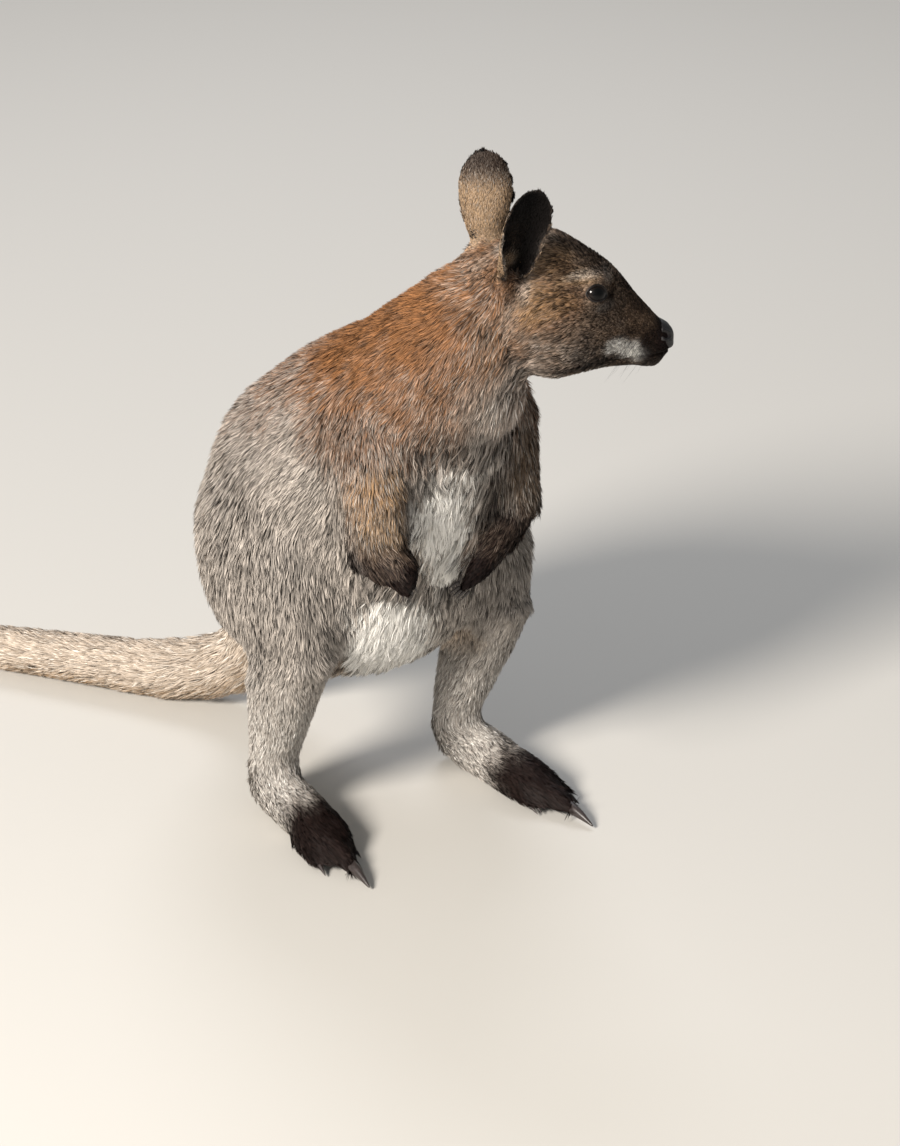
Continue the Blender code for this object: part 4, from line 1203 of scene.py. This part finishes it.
def growTufts(region, draw):
    corner, bary, onMap = scattered(region, draw)
    count = len(corner)

    def at(values):
        return np.einsum("ij,ij...->i...", bary, values[corner])

    root = at(skinPoints)
    body = toBody(root)
    normal, lie = unit(at(skinNormals)), unit(at(flow))
    depth = at(coatDepth) - skinSettings["overlap"]
    main = corner[np.arange(count), bary.argmax(1)]
    length = np.full(count, region["length"])
    for name, share in lengthShare.items():
        length[family[main] == name] *= share
    length = length * at(hairLength)
    wide = region["width"] * 1.0 * draw.uniform(*tuft["widths"], count)
    wide *= np.clip(0.40 + 0.60 * at(hairLength), 0.55, 1.1)
    length *= draw.uniform(*tuft["lengths"], count)
    sway = tuft["sway"] * draw.normal(size=count)
    for strength, size, seed in tuft["swayWaves"]:
        sway += strength * softNoise(body, size, seed)
    lie = unit(lie * np.cos(sway)[:, None] + np.cross(normal, lie) * np.sin(sway)[:, None])
    lift = depth * at(hairStand) * draw.uniform(*tuft["lifts"], count)
    lift = np.minimum(lift, length * tuft["mostLift"])
    reach = np.sqrt(np.maximum(length**2 - lift**2, (tuft["leastReach"] * length) ** 2))
    tip = root + lie * reach[:, None] + normal * lift[:, None]
    lock, middle = locksOf(root, region["locks"], draw)
    tip = tip + region["gather"] * (tip[middle] - tip)
    points = bladePoints(region["bends"], root, tip, normal, np.cross(normal, lie), wide, draw)
    tone = 0.5 + region["grizzle"] * (tonesOf(lock, body, draw) - 0.5)
    # painted shade: the tufts in the ear's cup are darkened
    tone -= tones["insideEar"] * at(masks["earInside"] * masks["charcoal"])
    stray = region["stray"] * draw.normal(size=count)
    finishTufts(region, points, main, normal, onMap, tone, stray)


draw = np.random.default_rng(20)
for region in coatRegions:
    growTufts({**commonCoat, **region}, draw)
report("coat grown")


# Eyes: a dark brown iris round a wide pupil, under a clear wet cornea (IOR 1.376)
iris = [  # outward from the pupil's middle: share of the eyeball's radius, colour
    (0.0, "#010101"), (0.42, "#020202"), (0.50, "#0c0705"), (0.70, "#140b07"), (0.78, "#050303"),
    (0.90, "#1a1210"),
]


def eyeMaterial():
    wet = newMaterial("wet_eye")
    reach = addNode(wet, "ShaderNodeAttribute", attribute_name="reach")
    ramp = addNode(wet, "ShaderNodeValToRGB", {"Fac": reach.outputs["Fac"]})
    elements = ramp.color_ramp.elements
    while len(elements) < len(iris):
        elements.new(0.5)
    for element, (place, code) in zip(elements, iris):
        element.position = place
        element.color = hexColour(code)
    sockets = {
        "Base Color": ramp.outputs[0], "Roughness": 0.5, "IOR": 1.376, "Specular IOR Level": 0.1,
        "Coat Weight": 0.6, "Coat IOR": 1.34, "Coat Roughness": 0.03,
    }
    return shown(wet, addNode(wet, "ShaderNodeBsdfPrincipled", sockets))


def makeEye(sideName, side, material):
    centre, gaze, forward, upward = eyeArrays(side)
    around, rings = eyeball["around"], eyeball["rings"]
    points = []
    for ring in range(rings + 1):
        angle = math.pi * ring / rings
        bulge = math.exp(-((math.sin(angle) / eyeball["corneaWidth"]) ** 2)) if angle < math.pi / 2 else 0
        radius = eyeball["radius"] + eyeball["corneaHeight"] * bulge
        for k in range(around):
            turn = 2 * math.pi * k / around
            way = math.cos(turn) * forward + math.sin(turn) * upward
            points.append(centre + radius * (math.cos(angle) * gaze + math.sin(angle) * way))
    mesh = cleanUp(meshFrom("eye_" + sideName, points, ringFaces(rings, around)), 1e-6)
    front = unit(pointsOf(mesh) - centre) @ gaze
    storeValues(mesh, "reach", np.where(front > 0, np.sqrt(np.clip(1 - front**2, 0, 1)), 1.0))
    newPiece("eyeball_" + sideName, mesh, material, ["eye_" + sideName])


def grained(name, texture, reading, grain, colours, bump, surface):
    # A material whose texture mixes its two colours and raises its surface
    material = newMaterial(name)
    spot = addNode(material, "ShaderNodeTexCoord")
    reading = addNode(material, texture, {"Vector": spot.outputs["Object"], **grain}).outputs[reading]
    sockets = {0: reading, 6: hexColour(colours[0]), 7: hexColour(colours[1])}
    colour = addNode(material, "ShaderNodeMix", sockets, data_type="RGBA")
    raised = addNode(material, "ShaderNodeBump", {"Height": reading, **bump})
    sockets = {"Base Color": colour.outputs[2], "Normal": raised.outputs[0], **surface}
    return shown(material, addNode(material, "ShaderNodeBsdfPrincipled", sockets))


# The lids' bare rims. Rows: share of the opening's size, height over the eyeball or the skin, share of
# the skin's own height
lidRim = [
    (0.88, -0.0014, 0.0), (0.94, 0.0000, 0.0), (0.98, 0.0007, 0.0), (1.03, 0.0011, 0.0),
    (1.09, 0.0010, 0.3), (1.16, 0.0004, 1.0), (1.24, 0.0001, 1.0), (1.34, -0.0006, 1.0),
]
skinTree = BVHTree.FromPolygons([tuple(p) for p in skinPoints], [tuple(t) for t in skinTriangles.tolist()])


def makeLids(sideName, side, material):
    centre, gaze, forward, upward = eyeFrame(side)
    points = []
    around = lids["around"]
    for size, height, onSkin in lidRim:
        for k in range(around):
            u, v = (size * place for place in openingPoint(2 * math.pi * k / around))
            ball = math.sqrt(max(eyeball["radius"] ** 2 - u * u - v * v, 0.003**2)) + height
            spot = centre + forward * u + upward * v
            hit = skinTree.ray_cast(spot + gaze * 0.030, -gaze, 0.06)
            onTop = (hit[0] - centre).dot(gaze) + height if hit[0] is not None else ball
            points.append(spot + gaze * (ball * (1 - onSkin) + onTop * onSkin))
    mesh = cleanUp(meshFrom("lids_" + sideName, points, ringFaces(len(lidRim) - 1, around)))
    newPiece("lids_" + sideName, mesh, material)


wetEye = eyeMaterial()
# Lid skin is bare, moist (IOR 1.42) and finely creased, so it reads as a nearly black, soft line.
lidSkin = grained(
    "lid_skin", "ShaderNodeTexNoise", "Fac",
    {"Scale": scaleOf(10 / 14), "Detail": 3.0}, ("#0a0808", "#181211"),  # 14 creases to the centimetre
    {"Strength": 0.4, "Distance": 0.0004}, {"Roughness": 0.42, "IOR": 1.42},
)
for sideName, side in (("left", 1), ("right", -1)):
    makeEye(sideName, side, wetEye)
    makeLids(sideName, side, lidSkin)
report("eyes and lids made")


def padDistances():
    # The direction from the pad's inner point to each of its points, in the head's frame, how far out on
    # the pad it is (0 to 1), and how far the skin is that way, evened out
    around, rings = nosePad["around"], nosePad["rings"]
    start = Vector(fromHead(nosePad["from"]))
    ways, shares, distances = [], [], []
    for ring in range(rings + 1):
        share = (ring / rings) ** nosePad["crowding"]
        for k in range(around):
            turn = 2 * math.pi * k / around
            outward = float(noseEdge(np.array([turn]))[0]) * nosePad["under"] * share
            aside, up = math.sin(outward) * math.cos(turn), math.sin(outward) * math.sin(turn)
            way = np.array([math.cos(outward), aside, up])
            hit = skinTree.ray_cast(start, Vector(way @ headAxes), 0.05)
            ways.append(way)
            shares.append(share)
            distances.append((hit[0] - start).length if hit[0] is not None else 0.018)
    ringed = np.array(distances).reshape(rings + 1, around)
    for _ in range(nosePad["evened"]):
        beside = np.roll(ringed, 1, 1)[1:-1], np.roll(ringed, -1, 1)[1:-1]
        ringed[1:-1] = (ringed[:-2] + ringed[2:] + beside[0] + beside[1]) / 4
    ringed[0] = ringed[1].mean()
    return np.array(ways), np.array(shares), ringed.reshape(-1)


def makeNose(material):
    ways, shares, distances = padDistances()
    place = ways * distances[:, None]
    tucked = nosePad["tuck"] * smoothStep(shares, nosePad["tuckFrom"], 1.0)
    swell = nosePad["thick"] * (1 - shares**3) - tucked
    out, up = nosePad["nostrilOut"], nosePad["nostrilUp"]
    for side in (1, -1):
        way = np.array([math.cos(out), side * math.sin(out) * math.cos(up), math.sin(out) * math.sin(up)])
        off = place - place[np.argmax(ways @ way)]
        along = off @ unit(np.array(nosePad["nostrilSlant"]) * (1, side, 1))
        beside = np.sqrt(np.maximum((off**2).sum(1) - along**2, 0))
        for height, alongAt, alongWidth, besideAt, besideWidth in nosePad["nostril"]:
            far = -(((along - alongAt) / alongWidth) ** 2) - ((beside - besideAt) / besideWidth) ** 2
            swell += height * np.exp(far)
    inGroove = np.exp(-((place[:, 1] / nosePad["grooveWidth"]) ** 2))
    swell -= nosePad["groove"] * inGroove * smoothStep(place[:, 2], 0.003, -0.003)
    place = place + ways * swell[:, None]
    faces = ringFaces(nosePad["rings"], nosePad["around"])
    mesh = cleanUp(meshFrom("nose_pad", fromHead(place + nosePad["from"]), faces), 1e-6)
    newPiece("nose_pad", mesh, material, ["nose"])


# Nose skin is moist (IOR 1.42) and pebbled, so its highlights are soft and broken.
noseSkin = grained(
    "moist_nose_skin", "ShaderNodeTexVoronoi", "Distance",
    {"Scale": scaleOf(10 / 15)}, ("#0b090a", "#1a1617"),  # 15 pebbles to the centimetre
    {"Strength": 0.5, "Distance": 0.0004},
    {"Roughness": 0.42, "IOR": 1.42, "Coat Weight": 0.12, "Coat Roughness": 0.2},
)
makeNose(noseSkin)
report("nose made")

# Whiskers and lashes: black hairs, each a thin three-sided cone with a bend
whisker = {
    "rows": 4, "inRow": 5, "ahead": 0.112, "aheadStep": 0.0052, "aheadSlant": 0.0010, "up": -0.0385,
    "rowDrop": 0.0042, "upStep": 0.0006, "inside": 0.050, "length": (0.018, 0.036), "radius": 0.00016,
}
lash = {
    "count": 34, "from": 14, "through": 152, "jitter": 1.5,  # turns round the opening, in degrees
    "outside": 1.02, "offBall": 0.0011, "length": (0.0045, 0.0075), "radius": 0.00013,
}
bristle = {"stations": 7, "taper": 0.85}


def bristlePoints(start, way, bend, length, radius):
    # Points of one hair: rings of three round a line that curves by bend, then the tip
    side = unit(np.cross(way, bend))
    rows = []
    for k in range(bristle["stations"]):
        t = k / bristle["stations"]
        middle = start + length * (t * way + t * t * bend)
        for turn in range(3):
            angle = 2 * math.pi * turn / 3
            around = math.cos(angle) * side + math.sin(angle) * unit(np.cross(way, side))
            rows.append(middle + around * radius * (1 - bristle["taper"] * t))
    rows.append(start + length * (way + bend))
    return rows


def bristleFaces(first):
    rings = bristle["stations"] - 1
    last = first + 3 * rings
    return ringFaces(rings, 3, first) + [(last + turn, last + (turn + 1) % 3, last + 3) for turn in range(3)]


def bristleMaterial():
    # Keratin, IOR about 1.55: a black hair has a soft sheen
    black = newMaterial("black_bristle")
    sockets = {"Base Color": hexColour("#0d0a09"), "Roughness": 0.45, "IOR": 1.55}
    return shown(black, addNode(black, "ShaderNodeBsdfPrincipled", sockets))


def makeBristles(draw):
    points, faces = [], []

    def add(start, way, bend, kind):
        length = draw.uniform(*kind["length"])
        faces.extend(bristleFaces(len(points)))
        points.extend(bristlePoints(start, way, bend, length, kind["radius"]))

    for side in (1, -1):
        for row in range(whisker["rows"]):
            for k in range(whisker["inRow"]):
                ahead = whisker["ahead"] + whisker["aheadStep"] * k + whisker["aheadSlant"] * row
                up = whisker["up"] - whisker["rowDrop"] * row + whisker["upStep"] * (4 - k)
                start = Vector(fromHead((ahead, side * whisker["inside"], up)))
                hit = skinTree.ray_cast(start, Vector((0, -side, 0) @ headAxes), 0.06)
                if hit[0] is None:
                    continue
                way = unit(np.array([-0.55 + 0.10 * draw.normal(), side * 0.80, -0.22 - 0.12 * row]))
                bend = np.array([-0.30, -side * 0.10, -0.22 + 0.05 * draw.normal()]) @ headAxes
                add(np.array(hit[0]), way @ headAxes, bend, whisker)
        centre, gaze, forward, upward = eyeArrays(side)
        for k in range(lash["count"]):
            share = lash["through"] * k / (lash["count"] - 1)
            turn = math.radians(lash["from"] + share + lash["jitter"] * draw.normal())
            u, v = (lash["outside"] * place for place in openingPoint(turn))
            high = math.sqrt(max(eyeball["radius"] ** 2 - u * u - v * v, 0)) + lash["offBall"]
            start = centre + forward * u + upward * v + gaze * high
            way = unit(0.75 * gaze + 0.55 * upward + 0.6 * math.cos(turn) * forward - 0.35 * forward)
            add(start, way, -0.25 * upward - 0.15 * gaze, lash)
    newPiece("bristles", meshFrom("bristles", points, faces), bristleMaterial())


makeBristles(draw)
report("whiskers and lashes made")


def copiedNode(node):
    # A CAD node's own shape with rounder faces
    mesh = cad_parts[node].data.copy()
    mesh.name = node + "_mesh"
    return smoothShaded(cleanUp(mesh, 1e-5, outward=False))


# Claws: keratin horn (IOR 1.54), dark and worn paler in streaks, with a dull polish
horn = grained(
    "claw_horn", "ShaderNodeTexNoise", "Fac",
    {"Scale": scaleOf(10 / 4.2), "Detail": 4.0}, ("#171312", "#463d3b"),  # streaks of about 2.4 mm
    {"Strength": 0.3, "Distance": 0.0005}, {"Roughness": 0.38, "IOR": 1.54},
)
for node in sorted(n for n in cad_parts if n.startswith("claw")):
    piece = newPiece(node.replace("claw", "horn"), copiedNode(node), horn, [node])
    rounder = piece.modifiers.new("rounder", "SUBSURF")
    rounder.levels = rounder.render_levels = 2
report("claws made")

# Studio: a pale floor, soft light from the animal's right, and the camera above the floor
studio = {
    "floorSize": 14.0, "floorDrop": 0.0005, "floor": "#cfccc6",
    "distance": 3.30, "azimuth": math.radians(-33.0), "elevation": math.radians(25.0),
    "lookAt": (-0.035, 0.0, 0.300),  # in the body's frame
    "sensor": 36.0, "lens": 3841 / 1146 * 36.0, "sky": "#e9ecef", "skyStrength": 0.34,
}
lamps = {  # place from where the camera looks, size across, watts, colour
    "key": ((-3.75, -1.15, 2.35), 1.3, 370, "#fff8ef"),
    "rim": ((1.2, 2.2, 2.6), 1.6, 40, "#f4f7ff"),
}


def makeFloor():
    half = studio["floorSize"] / 2
    square = [(-half, -half, 0), (half, -half, 0), (half, half, 0), (-half, half, 0)]
    mesh = meshFrom("floor", square, [(0, 1, 2, 3)])
    plaster = newMaterial("pale_floor")
    sockets = {"Base Color": hexColour(studio["floor"]), "Roughness": 0.8}
    mesh.materials.append(shown(plaster, addNode(plaster, "ShaderNodeBsdfPrincipled", sockets)))
    floor = linked("floor", mesh)
    floor.location.z = -studio["floorDrop"]


def addLamp(name, place, target, size, watts, colour):
    light = bpy.data.lights.new(name, "AREA")
    light.shape = "DISK"
    light.size = size
    light.energy = watts
    light.color = hexColour(colour)[:3]
    lamp = linked(name, light)
    lamp.location = place
    lamp.rotation_euler = (Vector(target) - Vector(place)).to_track_quat("-Z", "Y").to_euler()


def makeStudio():
    makeFloor()
    aim = Vector(fromBody(studio["lookAt"]))
    for name, (off, size, watts, colour) in lamps.items():
        addLamp(name, aim + Vector(off), aim, size, watts, colour)
    world = bpy.data.worlds.new("studio")
    bpy.context.scene.world = world
    world.use_nodes = True
    sky = world.node_tree.nodes["Background"].inputs
    sky["Color"].default_value = hexColour(studio["sky"])
    sky["Strength"].default_value = studio["skyStrength"]
    bpy.context.scene.view_settings.view_transform = "Standard"
    azimuth, elevation = studio["azimuth"], studio["elevation"]
    level = math.cos(elevation)
    back = Vector((math.sin(azimuth) * level, -math.cos(azimuth) * level, math.sin(elevation)))
    camera = bpy.data.cameras.new("camera")
    camera.lens = studio["lens"]
    camera.sensor_width = studio["sensor"]
    eye = linked("camera", camera)
    eye.location = aim + back * studio["distance"]
    eye.rotation_euler = (-back).to_track_quat("-Z", "Y").to_euler()
    bpy.context.scene.camera = eye


makeStudio()
report("studio set")

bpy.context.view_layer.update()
report("done")
